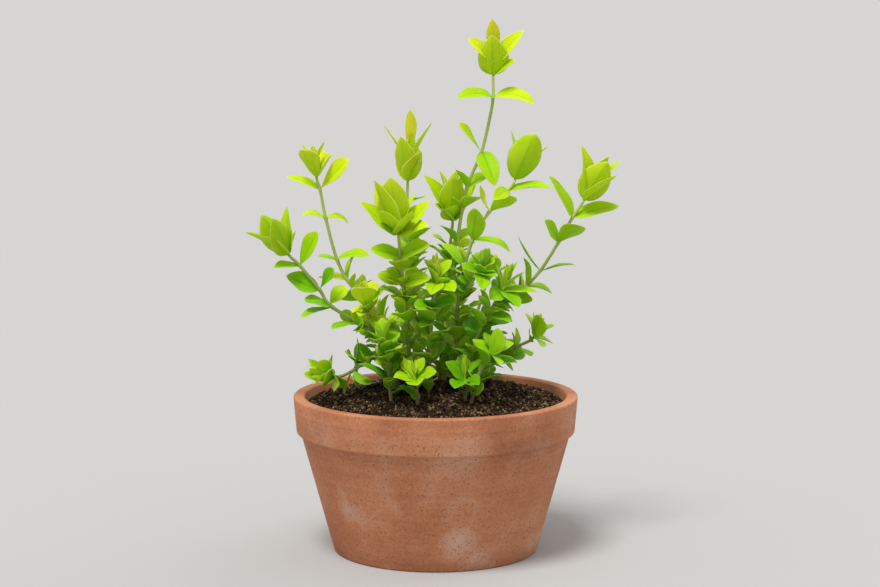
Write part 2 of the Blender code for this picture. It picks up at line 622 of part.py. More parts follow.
def grow(owner, label, axis, leaf, clear):
    """A leaf's mesh, turned round its stem or made smaller until it hangs clear of the others."""
    station, azimuth, length, width, rise, droop, roll, *fullest = leaf
    fullest = fullest[0] if fullest else LEAF_FULLEST
    along = axis.tangent(station)
    small = SMALL_TIP_LEAF if station > axis.end else SMALL_LEAF
    rings = LEAF_RINGS if length > small else SMALL_LEAF_RINGS
    for size in SIZES:
        for turn in TURNS:
            angle = math.radians(azimuth + turn)
            flat = Vector((math.cos(angle), math.sin(angle), 0))
            outward = (flat - along * flat.dot(along)).normalized()
            base = axis.at(station) + outward * clear + along * BASE_UP
            shape = (azimuth + turn, length * size, width * size, rise, droop, roll, fullest)
            swollen = leaf_mesh(label, base, along, shape, rings, extra=LEAF_CLEARANCE)
            mesh = leaf_mesh(label, base, along, shape, rings)
            free = not blocked(owner, swollen) and not blocked(owner, mesh)
            bpy.data.meshes.remove(swollen)
            if free:
                stand(owner, mesh)
                return mesh
            bpy.data.meshes.remove(mesh)
    return None


def join_leaves(core, axis, leaves, clear=BASE_OUT):
    """Joins leaves to the piece that carries them."""
    grown = bpy.data.collections.new(core.name + "_leaves")
    CUTTERS.children.link(grown)
    for number, leaf in enumerate(leaves):
        label = core.name + "_leaf_" + str(number + 1)
        mesh = grow(core.name, label, axis, leaf, clear)
        if mesh is not None:
            hide(bpy.data.objects.new(label, mesh), grown)
    join = core.modifiers.new("leaves", "BOOLEAN")
    join.operation = "UNION"
    join.operand_type = "COLLECTION"
    join.collection = grown


# Growing tips
for name, shoot in SHOOTS.items():
    axis = axes[name]
    stations = range(axis.end, axis.last + 1)
    points = [axis.at(s) for s in stations]
    points[0] += axis.tangent(axis.end) * CROWN_GAP
    crown = rod(name + "_crown", points, [axis.radius(s) for s in stations])
    keep(crown, CROWN_GREEN)
    stand(name + "_crown", crown.data)
    low, high = axis.end + BASE_LOW, axis.last - BASE_HIGH
    leaves = [(min(max(axis.end + leaf[0], low), high), *leaf[1:]) for leaf in shoot["crown"]]
    join_leaves(crown, axis, leaves)


# Leaf pairs with a collar round the stem
def collar(name, axis, station):
    """A short sleeve round the stem, where the bases of two leaves meet."""
    inner = (axis.radius(station) + GAP) / math.cos(math.pi / COLLAR_SIDES)
    half = COLLAR_HEIGHT / 2
    profile = [(inner, half), (inner + COLLAR_WALL, half), (inner + COLLAR_WALL, -half), (inner, -half)]
    obj = turned(name, profile, COLLAR_SIDES)
    turn = Vector((0, 0, 1)).rotation_difference(axis.tangent(station))
    obj.matrix_world = Matrix.Translation(axis.at(station)) @ turn.to_matrix().to_4x4()
    return obj


for name, shoot in SHOOTS.items():
    axis = axes[name]
    for label, leaves in shoot["pairs"].items():
        station = leaves[0][0]
        sleeve = keep(collar(label, axis, station), LEAF_GREEN)
        join_leaves(sleeve, axis, leaves, axis.radius(station) + GAP + COLLAR_WALL / 2)

# Leaves along the stems
for number, (name, shoot) in enumerate(SHOOTS.items()):
    leaves = list(shoot.get("own", ()))
    for k, station in enumerate(shoot["nodes"]):
        azimuth = NODE_START * (number + 1) + NODE_TURN * k
        length = NODE_LENGTH + NODE_SWING * math.sin(3 * number + 2 * k)
        for side in (0, 180):
            leaves.append((station, azimuth + side, length, length * NODE_WIDTH,
                           NODE_RISE, NODE_DROOP, 0, NODE_FULLEST))
    if leaves:
        join_leaves(stems[name], axes[name], leaves)
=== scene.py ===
"""Potted bacopa: a young stem plant with paired leaves, in a mound of dark soil in a clay pot."""

import math
import random

import bmesh
import bpy
import numpy as np
from mathutils import Matrix, Vector, noise
from mathutils.kdtree import KDTree


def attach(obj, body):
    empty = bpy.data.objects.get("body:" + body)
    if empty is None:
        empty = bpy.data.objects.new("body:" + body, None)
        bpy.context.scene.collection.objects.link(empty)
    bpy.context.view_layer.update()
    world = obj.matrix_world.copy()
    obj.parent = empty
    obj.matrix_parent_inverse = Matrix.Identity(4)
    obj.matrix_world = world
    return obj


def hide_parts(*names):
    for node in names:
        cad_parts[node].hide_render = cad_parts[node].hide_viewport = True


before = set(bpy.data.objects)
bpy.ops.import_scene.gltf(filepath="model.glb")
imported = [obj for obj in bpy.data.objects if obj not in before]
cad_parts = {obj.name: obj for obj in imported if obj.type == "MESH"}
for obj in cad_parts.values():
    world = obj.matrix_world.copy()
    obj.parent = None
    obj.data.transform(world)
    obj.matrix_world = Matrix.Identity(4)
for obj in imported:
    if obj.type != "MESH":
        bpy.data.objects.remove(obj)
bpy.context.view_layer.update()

MM = 0.001


# Clay pot. A low flowerpot of unglazed terracotta, turned on a wheel: a plain rim band, a wall that
# narrows to the foot and one drain hole. Lime from the water has left a pale bloom on the wall.
POT_HEIGHT = 55 * MM
RIM_RADIUS = 50 * MM
RIM_BAND_HEIGHT = 13 * MM
BAND_FOOT = POT_HEIGHT - RIM_BAND_HEIGHT
BAND_TAPER = 1.1 * MM
RIM_STEP = 2.5 * MM
FOOT_RADIUS = 36 * MM
POT_WALL = 4 * MM
POT_BASE = 5 * MM
DRAIN_RADIUS = 5.5 * MM
POT_TURNS = 144
WALL_RINGS = 7
WELD = 0.01 * MM
EDGE_TURN = math.radians(25)
EDGE_ROUND = 1.1 * MM
EDGE_SEGMENTS = 3
CLAY_DARK = (0.30, 0.105, 0.048, 1)
CLAY_MID = (0.47, 0.185, 0.092, 1)
CLAY_LIGHT = (0.60, 0.29, 0.165, 1)
LIME = (0.70, 0.61, 0.52, 1)
# The clay's patterns, in patches a metre, the height at which the bloom fades out, and its relief.
BLUSH_SCALE = 38
SPECKLE_SCALE = 900
TURNING_SCALE = (6, 6, 620)
BLOOM_SCALE = 70
PIT_SCALE = 1600
BLOOM_TOP = 60 * MM
CLAY_RELIEF = 0.18 * MM


class Value:
    """A number that a shader node gives, so that sums on it read as sums."""

    def __init__(self, finish, socket):
        self.finish = finish
        self.socket = socket

    def sum(self, operation, *others, swap=False):
        terms = [self, *others]
        if swap:
            terms.reverse()
        made = self.finish.node("Math", {"operation": operation}, dict(enumerate(terms)))
        return Value(self.finish, made.outputs[0])

    def __add__(self, other):
        return self.sum("ADD", other)

    def __sub__(self, other):
        return self.sum("SUBTRACT", other)

    def __mul__(self, other):
        return self.sum("MULTIPLY", other)

    def __abs__(self):
        return self.sum("ABSOLUTE")

    def __rsub__(self, other):
        return self.sum("SUBTRACT", other, swap=True)

    __radd__ = __add__
    __rmul__ = __mul__

    def over(self, low, high):
        """0 below low, 1 above high, and an even slope between."""
        made = self.finish.node("MapRange", {"clamp": True}, {0: self, 1: low, 2: high, 3: 0.0, 4: 1.0})
        return Value(self.finish, made.outputs[0])


class Finish:
    """A material and the calls that build its nodes."""

    def __init__(self, name):
        self.material = bpy.data.materials.new(name)
        self.material.use_nodes = True
        self.tree = self.material.node_tree
        self.tree.nodes.clear()
        self.place = self.node("TexCoord").outputs["Object"]

    def node(self, kind, settings=None, sockets=None):
        """One node: its settings first, then what goes into its sockets."""
        made = self.tree.nodes.new("ShaderNode" + kind)
        for key, setting in (settings or {}).items():
            if key == "stops":
                ramp = made.color_ramp
                while len(ramp.elements) < len(setting):
                    ramp.elements.new(1.0)
                for stop, (position, colour) in zip(ramp.elements, setting):
                    stop.position = position
                    stop.color = colour
            else:
                setattr(made, key, setting)
        for key, given in (sockets or {}).items():
            if isinstance(given, Value):
                given = given.socket
            if isinstance(given, bpy.types.NodeSocket):
                self.tree.links.new(given, made.inputs[key])
            else:
                made.inputs[key].default_value = given
        return made

    def stretched(self, scale):
        """The place on the object, with its axes stretched by scale."""
        return self.node("Mapping", None, {"Vector": self.place, "Scale": scale}).outputs[0]

    def grain(self, scale, detail, place=None):
        """Cloudy noise from 0 to 1. Scale is in patches a metre."""
        sockets = {"Vector": place or self.place, "Scale": scale, "Detail": detail}
        return Value(self, self.node("TexNoise", None, sockets).outputs["Fac"])

    def mark(self, name):
        """A number that the mesh keeps at each of its points."""
        return Value(self, self.node("Attribute", {"attribute_name": name}).outputs["Fac"])

    def height(self):
        """Height above the floor, in metres."""
        return Value(self, self.node("SeparateXYZ", None, {0: self.place}).outputs["Z"])

    def ramp(self, amount, stops):
        return self.node("ValToRGB", {"stops": stops}, {0: amount}).outputs[0]

    def mix(self, amount, low, high):
        """Two colours mixed: low at 0, high at 1."""
        return self.node("Mix", {"data_type": "RGBA"}, {0: amount, 6: low, 7: high}).outputs[2]

    def bump(self, amount, depth, strength=1.0):
        """A surface raised by amount times depth, in metres."""
        sockets = {"Height": amount, "Distance": depth, "Strength": strength}
        return self.node("Bump", None, sockets).outputs[0]

    def shine(self, sockets):
        """The Principled surface, wired to the output."""
        shader = self.node("BsdfPrincipled", None, sockets)
        self.node("OutputMaterial", None, {0: shader.outputs[0]})
        return self.material


def piece(name, bm, finish, slot, *replaced):
    """A finished mesh as a piece of the plant, standing for its CAD nodes."""
    mesh = bpy.data.meshes.new(name)
    bm.to_mesh(mesh)
    bm.free()
    mesh.shade_smooth()
    mesh.materials.append(finish)
    obj = bpy.data.objects.new(name, mesh)
    bpy.context.scene.collection.objects.link(obj)
    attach(obj, "root")
    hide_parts(*replaced)


def inner_radius(z):
    """Radius of the pot's inner wall at height z."""
    low = FOOT_RADIUS - POT_WALL
    high = RIM_RADIUS - POT_WALL
    return low + (high - low) * (z - POT_BASE) / (POT_HEIGHT - POT_BASE)


def outer_radius(z):
    """Radius of the pot's outer wall at height z, below the band."""
    return FOOT_RADIUS + (RIM_RADIUS - RIM_STEP - FOOT_RADIUS) * z / BAND_FOOT


def turned(profile, turns, closed):
    """A mesh turned round the pot's middle from a profile of radii and heights."""
    bm = bmesh.new()
    ring = [bm.verts.new((r, 0, z)) for r, z in profile]
    sides = list(zip(ring, ring[1:]))
    if closed:
        sides.append((ring[-1], ring[0]))
    for a, b in sides:
        bm.edges.new((a, b))
    bmesh.ops.spin(bm, geom=bm.verts[:] + bm.edges[:], cent=(0, 0, 0), axis=(0, 0, 1),
                   dvec=(0, 0, 0), angle=2 * math.pi, steps=turns, use_merge=True)
    bmesh.ops.remove_doubles(bm, verts=bm.verts, dist=WELD)
    bmesh.ops.recalc_face_normals(bm, faces=bm.faces)
    return bm


profile = [(inner_radius(POT_BASE), POT_BASE), (inner_radius(POT_HEIGHT), POT_HEIGHT)]
profile += [(RIM_RADIUS, POT_HEIGHT), (RIM_RADIUS - BAND_TAPER, BAND_FOOT)]
for k in range(WALL_RINGS, -1, -1):
    z = BAND_FOOT * k / WALL_RINGS
    profile.append((outer_radius(z), z))
profile += [(DRAIN_RADIUS, 0), (DRAIN_RADIUS, POT_BASE)]
bm = turned(profile, POT_TURNS, closed=True)
edges = [e for e in bm.edges if e.is_manifold and e.calc_face_angle() > EDGE_TURN]
bmesh.ops.bevel(bm, geom=edges, offset=EDGE_ROUND, offset_type="OFFSET", affect="EDGES",
                segments=EDGE_SEGMENTS, profile=0.5, material=-1, clamp_overlap=True)

clay = Finish("unglazed_clay")
blush = clay.grain(BLUSH_SCALE, 5)
speckle = clay.grain(SPECKLE_SCALE, 3)
rings = clay.grain(1, 3, clay.stretched(TURNING_SCALE))
body = clay.ramp(blush * 0.6 + speckle * 0.25 + rings * 0.15,
                 [(0.30, CLAY_DARK), (0.50, CLAY_MID), (0.72, CLAY_LIGHT)])
bloom = (clay.grain(BLOOM_SCALE, 6) - 0.52) * 5.0 * (1 - clay.height().over(0.0, BLOOM_TOP) * 0.8)
limed = clay.mix(bloom.over(0.0, 1.0) * 0.35, body, LIME)
pits = clay.grain(PIT_SCALE, 2).over(0.30, 0.42)
clay_finish = clay.shine({
    "Base Color": clay.mix(pits, CLAY_DARK, limed),
    "Roughness": 0.86 - bloom.over(0.0, 1.0) * 0.08,
    "Specular IOR Level": 0.25,
    "Normal": clay.bump(rings * 0.6 + pits * 0.4 + speckle * 0.3, CLAY_RELIEF, 0.7),
})
piece("clay_pot", bm, clay_finish, "terracotta", "pot")


# Soil bed. Aquarium soil of baked clay crumbs, heaped into the pot by hand: a low mound that stands
# three millimetres above the rim in the middle and falls three below it at the wall.
GAP = 0.3 * MM
SOIL_CROWN = POT_HEIGHT + 3 * MM
SOIL_EDGE = POT_HEIGHT - 3 * MM
SOIL_LUMP = 0.7 * MM
LUMP_PITCH = 4.5 * MM
SOIL_TURNS = 96
SOIL_RINGS = 30
CLOD = 0.55 * MM
CLOD_PITCH = 3.1 * MM
DAMP_SCALE = 260
GRIT_SCALE = 1100
GRIT_RELIEF = 0.6 * MM
# Dark soil with painted shadow: the bed's colours are darker than the crumbs, as the shade in the gaps
# between them.
PEAT_AND_SHADOW = (0.010, 0.005, 0.002, 1)
EARTH_AND_SHADOW = (0.036, 0.019, 0.008, 1)


def soil_height(x, y):
    """Height of the soil's mounded top."""
    out = min(1.0, (x * x + y * y) / inner_radius(SOIL_EDGE) ** 2)
    lump = math.sin(x / LUMP_PITCH + 1) * math.cos(y / LUMP_PITCH) * (1 - out)
    return SOIL_EDGE + (SOIL_CROWN - SOIL_EDGE) * (1 - out) + SOIL_LUMP * lump


soil_radius = inner_radius(SOIL_EDGE) - GAP
soil_foot = inner_radius(POT_BASE) - GAP
profile = [(soil_radius * k / SOIL_RINGS, POT_HEIGHT) for k in range(SOIL_RINGS + 1)]
profile += [(soil_foot, POT_BASE + GAP), (0, POT_BASE + GAP)]
bm = turned(profile, SOIL_TURNS, closed=False)
for vert in bm.verts:
    if vert.co.z > POT_BASE + 2 * GAP:
        x, y, z = vert.co
        broad = noise.noise(Vector((x, y, 0)) / CLOD_PITCH)
        fine = noise.noise(Vector((x, y, 9)) * 2 / CLOD_PITCH)
        vert.co.z = soil_height(x, y) + CLOD * (broad + 0.5 * fine)

# The bed is painted darker than its crumbs: dark soil with painted shadow between the crumbs.
bed = Finish("soil_and_painted_shadow")
damp_and_shadow = bed.grain(DAMP_SCALE, 6)
bed_finish = bed.shine({
    "Base Color": bed.ramp(damp_and_shadow, [(0.35, PEAT_AND_SHADOW), (0.65, EARTH_AND_SHADOW)]),
    "Roughness": 0.95,
    "Specular IOR Level": 0.2,
    "Normal": bed.bump(bed.grain(GRIT_SCALE, 5), GRIT_RELIEF),
})
piece("soil_bed", bm, bed_finish, "soil", "soil")


# Soil crumbs. The same soil's loose crumbs, a half to one and a half millimetres across: dark brown
# baked clay with a few dry tan ones. They lie on the bed up to the pot's wall, some a little sunk.
CRUMB_COLOURS = [(0.00, (0.006, 0.003, 0.001, 1)), (0.30, (0.026, 0.013, 0.005, 1)),
                 (0.55, (0.062, 0.031, 0.012, 1)), (0.80, (0.125, 0.068, 0.029, 1)),
                 (0.93, (0.210, 0.138, 0.070, 1)), (1.00, (0.310, 0.230, 0.140, 1))]
# How many crumbs, the smallest and the largest one's radius, and the seed that strews them.
CRUMB_LOTS = {"soil_fine_crumbs": (9000, 0.24 * MM, 0.46 * MM, 11),
              "soil_crumbs": (3600, 0.42 * MM, 0.82 * MM, 12)}
CRUMB_SINK = 0.15
CRUMB_INSET = 0.4 * MM
CRUMB_DENTS = (0.72, 0.5)
CRUMB_STRETCH = (0.75, 0.5)
MOSTLY_SMALL = 2
MOSTLY_DARK = 1.3
CRUMB_SCALE = 1500
CRUMB_PORES = 3500
CRUMB_RELIEF = 0.25 * MM

crumb = Finish("soil_crumb")
shade = crumb.mark("shade")
crumb_finish = crumb.shine({
    "Base Color": crumb.ramp(shade + (crumb.grain(CRUMB_SCALE, 3) - 0.5) * 0.35, CRUMB_COLOURS),
    "Roughness": 0.9 - shade * 0.15,
    "Specular IOR Level": 0.2,
    "Normal": crumb.bump(crumb.grain(CRUMB_PORES, 4), CRUMB_RELIEF),
})


def crumbs(name, count, small, large, seed):
    """Loose crumbs strewn evenly over the mound, each a rough ball of twenty faces."""
    bm = bmesh.new()
    bmesh.ops.create_icosphere(bm, subdivisions=1, radius=1)
    one = bpy.data.meshes.new(name)
    bm.to_mesh(one)
    bm.free()
    corners = len(one.vertices)
    lot = bpy.data.objects.new(name, one)
    bpy.context.scene.collection.objects.link(lot)
    array = lot.modifiers.new("strewn", "ARRAY")
    array.count = count
    array.relative_offset_displace = (0, 0, 0)
    graph = bpy.context.evaluated_depsgraph_get()
    mesh = bpy.data.meshes.new_from_object(lot.evaluated_get(graph))
    lot.modifiers.clear()
    lot.data = mesh
    bpy.data.meshes.remove(one)
    rng = np.random.default_rng(seed)
    places = np.empty(count * corners * 3)
    mesh.vertices.foreach_get("co", places)
    places = places.reshape(count, corners, 3)
    size = small + (large - small) * rng.random(count) ** MOSTLY_SMALL
    dents = CRUMB_DENTS[0] + CRUMB_DENTS[1] * rng.random((count, corners, 1))
    stretch = CRUMB_STRETCH[0] + CRUMB_STRETCH[1] * rng.random((count, 1, 3))
    places = places * dents * stretch
    far = (soil_radius - CRUMB_INSET - size) * np.sqrt(rng.random(count))
    angle = rng.random(count) * 2 * math.pi
    x, y = far * np.cos(angle), far * np.sin(angle)
    z = np.array([soil_height(a, b) for a, b in zip(x, y)]) + size * (rng.random(count) - CRUMB_SINK)
    places = places * size[:, None, None] + np.stack([x, y, z], axis=1)[:, None, :]
    mesh.vertices.foreach_set("co", places.ravel())
    shades = mesh.attributes.new("shade", "FLOAT", "POINT")
    shades.data.foreach_set("value", np.repeat(rng.random(count) ** MOSTLY_DARK, corners))
    mesh.update()
    mesh.materials.clear()
    mesh.materials.append(crumb_finish)
    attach(lot, "root")


for name, lot in CRUMB_LOTS.items():
    crumbs(name, *lot)


# Stems. Soft round stems of bacopa, a little over a millimetre thick, that bend up towards the light:
# a little brown at the soil, olive above and fresh lime at the top, with a faint joint at every pair.
STEM_RADIUS_LOW = 0.7 * MM
STEM_RADIUS_TOP = 0.52 * MM
CROWN_TAPER = 0.35
FORK_GAP = 0.7 * MM
FORK_ROOT = 0.4
JOINT_SWELL = 0.22
JOINT_REACH = 0.9 * MM
STEM_STEP = 0.8 * MM
STEM_ROUND = 3
STALK_TOP = 0.28  # how far the stalk runs on into the growing tip, in stations
TANGENT_STEP = 0.05
STEM_BROWN = (0.170, 0.130, 0.050, 1)
STEM_OLIVE = (0.290, 0.330, 0.085, 1)
STEM_FRESH = (0.430, 0.510, 0.120, 1)
STEM_YOUNG = (SOIL_CROWN - 2 * MM, SOIL_CROWN + 85 * MM)  # from brown at the soil to fresh above
STEM_PATCH = 180
STREAK_SCALE = (2200, 2200, 160)
STEM_CLEAR = 0.6 * MM
STEM_RELIEF = 0.06 * MM

# A shoot's route is in millimetres from the top of the soil's middle, and its growing tip goes on
# along axis. A fork is the shoot that it springs from and the station there. Nodes are where it bears
# plain pairs, and own, pairs and crown are the leaves set one by one. Such a leaf is (station, azimuth,
# length, width, rise, droop, roll, fullest): its place along the shoot in route points, its compass
# angle, the chord's, midrib's and blade's angles in degrees, and where along it the leaf is widest.
SHOOTS = {
    "tall": {
        "route": [(3, 4, -6), (3.5, 5, 12.5), (5.5, 6, 31), (7.5, 7, 49.5), (11, 6, 69),
                  (16, 5, 81.5), (19, 5, 94), (20, 5, 100.5), (20, 5, 106.5)],
        "pairs": {
            "tall_upper_leaves":
                [(7, -155, 13.5, 6.5, -5, 60, -30, 0.45), (7, -25, 15.5, 7.5, -5, 75, 30, 0.42)],
            "tall_middle_leaves":
                [(5, -160, 13, 5, 35, 20, -30, 0.7), (5, -50, 14.5, 7.5, -40, 30, 40, 0.4)],
        },
        "nodes": (0.5, 0.85, 1.2, 1.65, 2.1, 2.55, 3.0, 3.6, 4.0),
        "axis": [(20, 5, 112), (20, 5, 117.5)],
        "crown": [(0, -95, 15, 11, 70, -20, 0, 0.36), (0, 80, 14, 10.5, 60, -20, 0, 0.36),
                  (1, -165, 12.5, 5.5, 45, 30, -50, 0.6), (1, -10, 15.5, 6.5, 50, 5, 50, 0.42),
                  (2, -100, 11.5, 5, 80, 0, 0, 0.5), (0, -30, 10, 6, 30, 10, 40, 0.55)],
    },
    "oval_bud": {
        "route": [(7, -6, -5.5), (7, -9, 14.5), (8, -12, 33), (12.5, -14, 52.5), (18.5, -14, 62.5),
                  (24.5, -14, 69.5), (26.5, -14, 72)],
        "pairs": {
            "oval_bud_upper_leaves":
                [(5, -15, 15, 8, 45, 40, 30, 0.42), (5, -105, 12.5, 5, -25, 30, 0, 0.5)],
            "oval_bud_middle_leaves":
                [(4, -165, 9, 5.5, 35, -40, -20, 0.6), (4, -65, 11, 8, 55, 20, 10, 0.6)],
            "oval_bud_lower_leaves":
                [(3, -115, 13, 7.5, 65, 20, 0, 0.5), (3, -15, 13.5, 6, 5, 60, 20, 0.5)],
        },
        "nodes": (0.45, 0.8, 1.2, 1.6, 2.0, 2.45),
        "axis": [(28, -14, 76.5), (29.5, -14, 82)],
        "crown": [(0, -80, 17.5, 11, 77, -25, 0, 0.48), (0, 95, 16.5, 10, 72, -25, 0, 0.45),
                  (1, 160, 13.5, 3.5, 65, 0, 0, 0.4), (1, 15, 13, 3.5, 55, 0, 0, 0.4),
                  (2, 70, 6.5, 3, 80, 0, 0, 0.5)],
    },
    "right": {
        "route": [(11.5, 2, -6), (12, 4, 14.5), (18.5, 6, 24.5), (31, 8, 33.5), (37, 9, 39.5),
                  (43.5, 10, 49.5), (48.5, 10, 58.5), (51.5, 10, 63)],
        "pairs": {
            "right_upper_leaves":
                [(6, -165, 17, 7.5, 30, 10, -40, 0.4), (6, 10, 16.5, 7, 45, 30, 25, 0.4)],
            "right_middle_leaves":
                [(5, -145, 11, 6, 20, 20, -60, 0.55), (5, -70, 13, 9, 45, 15, 20, 0.6)],
            "right_lower_leaves":
                [(4, 165, 14, 4.5, 20, -20, 0, 0.5), (4, -20, 12, 5, 50, 30, 20, 0.55)],
        },
        "nodes": (0.45, 0.8, 1.3, 1.9, 2.5, 3.1),
        "axis": [(54, 10, 67.5), (55.5, 10, 71)],
        "crown": [(0, -90, 16.5, 11, 75, -20, 0, 0.45), (0, 95, 15, 9.5, 70, -20, 0, 0.45),
                  (1, -165, 16.5, 8.5, 55, 0, -55, 0.36), (1, 0, 15.5, 5, 72, 10, 30, 0.4),
                  (0, -50, 15.5, 9, 62, -10, 30, 0.45)],
    },
    "upright": {
        "route": [(-4.5, 10, -6.5), (-6.5, 12, 14), (-9, 14, 35), (-9.5, 14, 51), (-10, 14, 63),
                  (-10, 14, 68.5)],
        "nodes": (0.5, 0.8, 1.1, 1.5, 1.9, 2.35, 2.8, 3.35),
        "own": [(4, 140, 6.5, 4, 20, 20, 0), (4, -45, 9, 4.5, 15, 20, 0)],
        "axis": [(-9.5, 14, 77), (-9, 14, 86)],
        "crown": [(0, -115, 17.5, 10, 68, -22, 0, 0.42), (0, 85, 16.5, 9.5, 65, -25, 0, 0.42),
                  (1, 180, 16.5, 4, 55, 5, 0, 0.45), (1, -10, 17, 5.5, 65, 5, 0, 0.4),
                  (2, -115, 12.5, 4.5, 85, 0, 0, 0.5), (0, -55, 13, 8, 60, -15, 15, 0.4)],
    },
    "left_centre": {
        "route": [(-8, -8, -5), (-9.5, -14, 20.5), (-11, -18, 38), (-12, -20, 47.5),
                  (-12.5, -21, 54)],
        "pairs": {
            "left_centre_leaves":
                [(3, -165, 10, 6, 25, 30, -40, 0.4), (3, -25, 11.5, 7, 25, 30, 40, 0.45)],
        },
        "nodes": (0.8, 1.2, 1.6, 2.45),
        "own": [(2, 160, 9.5, 5.5, 20, 20, -40, 0.45), (2, -30, 11, 6, 15, 30, 40, 0.45)],
        "axis": [(-13, -21, 57.5), (-13.5, -21, 60.5)],
        "crown": [(0, -130, 21, 9.5, 70, -15, -20, 0.42), (1, -85, 18.5, 10.5, 70, -20, 0, 0.45),
                  (0, -160, 17, 9, 50, -15, -50, 0.4), (0, -5, 15.5, 8.5, 40, -10, 45, 0.4),
                  (0.4, -112, 14, 8, 38, -15, -20, 0.42), (0.3, -62, 14, 8, 34, -15, 20, 0.42),
                  (0, -30, 12, 8, 10, 15, 40, 0.45), (0.8, 5, 13, 6.5, 55, 0, 30, 0.4),
                  (1, 130, 17, 8, 65, -10, -40, 0.4), (2, 55, 12, 6, 70, 0, 0, 0.4)],
    },
    "right_centre": {
        "route": [(1.5, 8, -6), (2.5, 10, 14.5), (4, 11, 36), (5, 12, 47), (6, 12, 55.5)],
        "nodes": (0.8, 1.2, 1.6, 2.0, 2.5),
        "own": [(3, -135, 10, 6, 25, 25, -30, 0.45), (3, 25, 10, 6, 20, 25, 30, 0.45)],
        "axis": [(6, 12, 59.5), (6.5, 12, 62.5)],
        "crown": [(0, -165, 19, 9, 60, 0, -45, 0.4), (1, -160, 16, 7.5, 70, 0, -35, 0.4),
                  (0, -100, 18, 10, 62, -15, 0, 0.45), (1, -65, 15, 8.5, 70, 0, 30, 0.4),
                  (0, 0, 15, 7.5, 58, 5, 45, 0.4), (0.2, -125, 12.5, 8, 30, 5, -30, 0.42),
                  (0.2, -60, 12.5, 7.5, 28, 10, 25, 0.42), (1, 80, 14, 7, 52, 0, 0, 0.4)],
    },
    "upper_left": {
        "route": [(-9.5, 14, -6.5), (-13, 18, 10.5), (-20, 20, 22.5), (-30.5, 21, 33),
                  (-35.5, 22, 42), (-39.5, 22, 57), (-41.5, 22, 67.5), (-42.5, 22, 70.5)],
        "pairs": {
            "upper_left_top_leaves":
                [(6, 175, 12, 5, 35, 30, -20, 0.4), (6, -20, 15, 7, 35, 10, 70, 0.68)],
            "upper_left_middle_leaves":
                [(5, -165, 8, 5, 25, 60, -20, 0.45), (5, 15, 8, 5, -30, 60, 20, 0.45)],
            "upper_left_lower_leaves":
                [(4, -160, 6.5, 4.5, 35, 30, -30, 0.5), (4, -15, 11.5, 6, -15, 50, 20, 0.5)],
        },
        "nodes": (0.5, 0.9, 1.4, 1.9, 2.5, 3.2),
        "axis": [(-43, 22, 74.5), (-43.5, 22, 78)],
        "crown": [(0, -120, 12.5, 9, 60, -20, 0, 0.68), (0, 80, 11.5, 8.5, 55, -20, 0, 0.62),
                  (0, -20, 10, 6.5, 50, -10, 25, 0.6), (1, 165, 10, 4, 70, 0, 0, 0.45),
                  (2, 0, 8, 3.5, 55, 0, 0, 0.45)],
    },
    "far_left": {
        "route": [(-12, -2, -6), (-17, -4, 15), (-26.5, -6, 22.5), (-36.5, -9, 29.5),
                  (-40, -10, 35), (-46.5, -12, 43.5), (-49.5, -13, 46.5)],
        "pairs": {
            "far_left_upper_leaves":
                [(5, 5, 12.5, 7.5, 25, 10, 40, 0.62), (5, -150, 9, 6, 45, 30, -30, 0.5)],
            "far_left_lower_leaves":
                [(4, -145, 12, 8, 65, 20, -50, 0.5), (4, -5, 8.5, 5, 25, 15, 40, 0.7)],
        },
        "nodes": (0.45, 0.8, 1.3),
        "own": [(3, 20, 8.5, 6.5, -5, 15, 40, 0.6), (3, -135, 10.5, 8, 55, 15, -60, 0.5),
                (2.9, -140, 14, 6.5, 35, 20, -30, 0.5), (2, -140, 12, 6, 45, 30, -30, 0.5),
                (2, 15, 8.5, 6, 5, 15, 30, 0.5)],
        "axis": [(-52, -13, 49.5), (-53.5, -14, 52)],
        "crown": [(0, -140, 17, 9.5, 63, 10, -40, 0.42), (0, 10, 16.5, 8.5, 50, 5, 30, 0.38),
                  (1, -55, 14.5, 9, 80, -5, 0, 0.38), (0, -55, 16.5, 9.5, 50, -15, 0, 0.42),
                  (0, -5, 8.5, 4.5, 30, 10, 20, 0.5)],
    },
    "small_bud": {
        "fork": ("far_left", 1.7),
        "route": [(-22.5, -11, 24.5), (-23.5, -13.5, 28.5)],
        "axis": [(-24, -14.5, 31.5), (-24.5, -15, 34)],
        "crown": [(0, -150, 5.5, 4.5, 0, 15, 0), (0, 15, 10, 4, 40, -10, 0, 0.6),
                  (0, -90, 12, 9, 60, -15, 0, 0.65), (1, 45, 7.5, 7, 40, -10, 10, 0.6)],
    },
    "low_left": {
        "route": [(-15, -21, -4), (-16, -22, 8), (-17, -24, 16.5)],
        "nodes": (0.7, 1.4),
        "axis": [(-17.5, -24, 19), (-18, -24, 20.5)],
        "crown": [(0, -130, 8.5, 6, 45, 15, -20), (0, 20, 6.5, 6, 25, 20, 20),
                  (1, 75, 8.5, 5.5, 60, 0, 0), (0.5, -110, 9, 5, 15, 20, 0),
                  (1.3, -20, 8.5, 5, 50, 5, 0)],
    },
    "right_middle": {
        "route": [(10, -14, -4), (13, -17, 16), (18, -18, 27.5), (22, -19, 34.5)],
        "nodes": (0.7, 1.1, 1.5, 2.5),
        "own": [(2, 135, 7.5, 5, 30, 15, 0), (2, -40, 9.5, 6.5, 15, 25, 30)],
        "axis": [(23, -19, 37), (24, -19, 39.5)],
        "crown": [(0, 0, 12, 5.5, 20, 25, 20), (0, 170, 9, 5, 55, 5, 0),
                  (1, -10, 8.5, 5.5, 60, 5, 0), (2, 150, 6, 3.5, 70, 0, 0),
                  (0, -45, 10, 7, -15, 30, 20), (0, -115, 8.5, 6, -25, 25, -20)],
    },
    "low_right": {
        "route": [(14, 9, -6), (20.5, 10, 6), (28.5, 9, 12), (34, 8, 15)],
        "nodes": (1.3,),
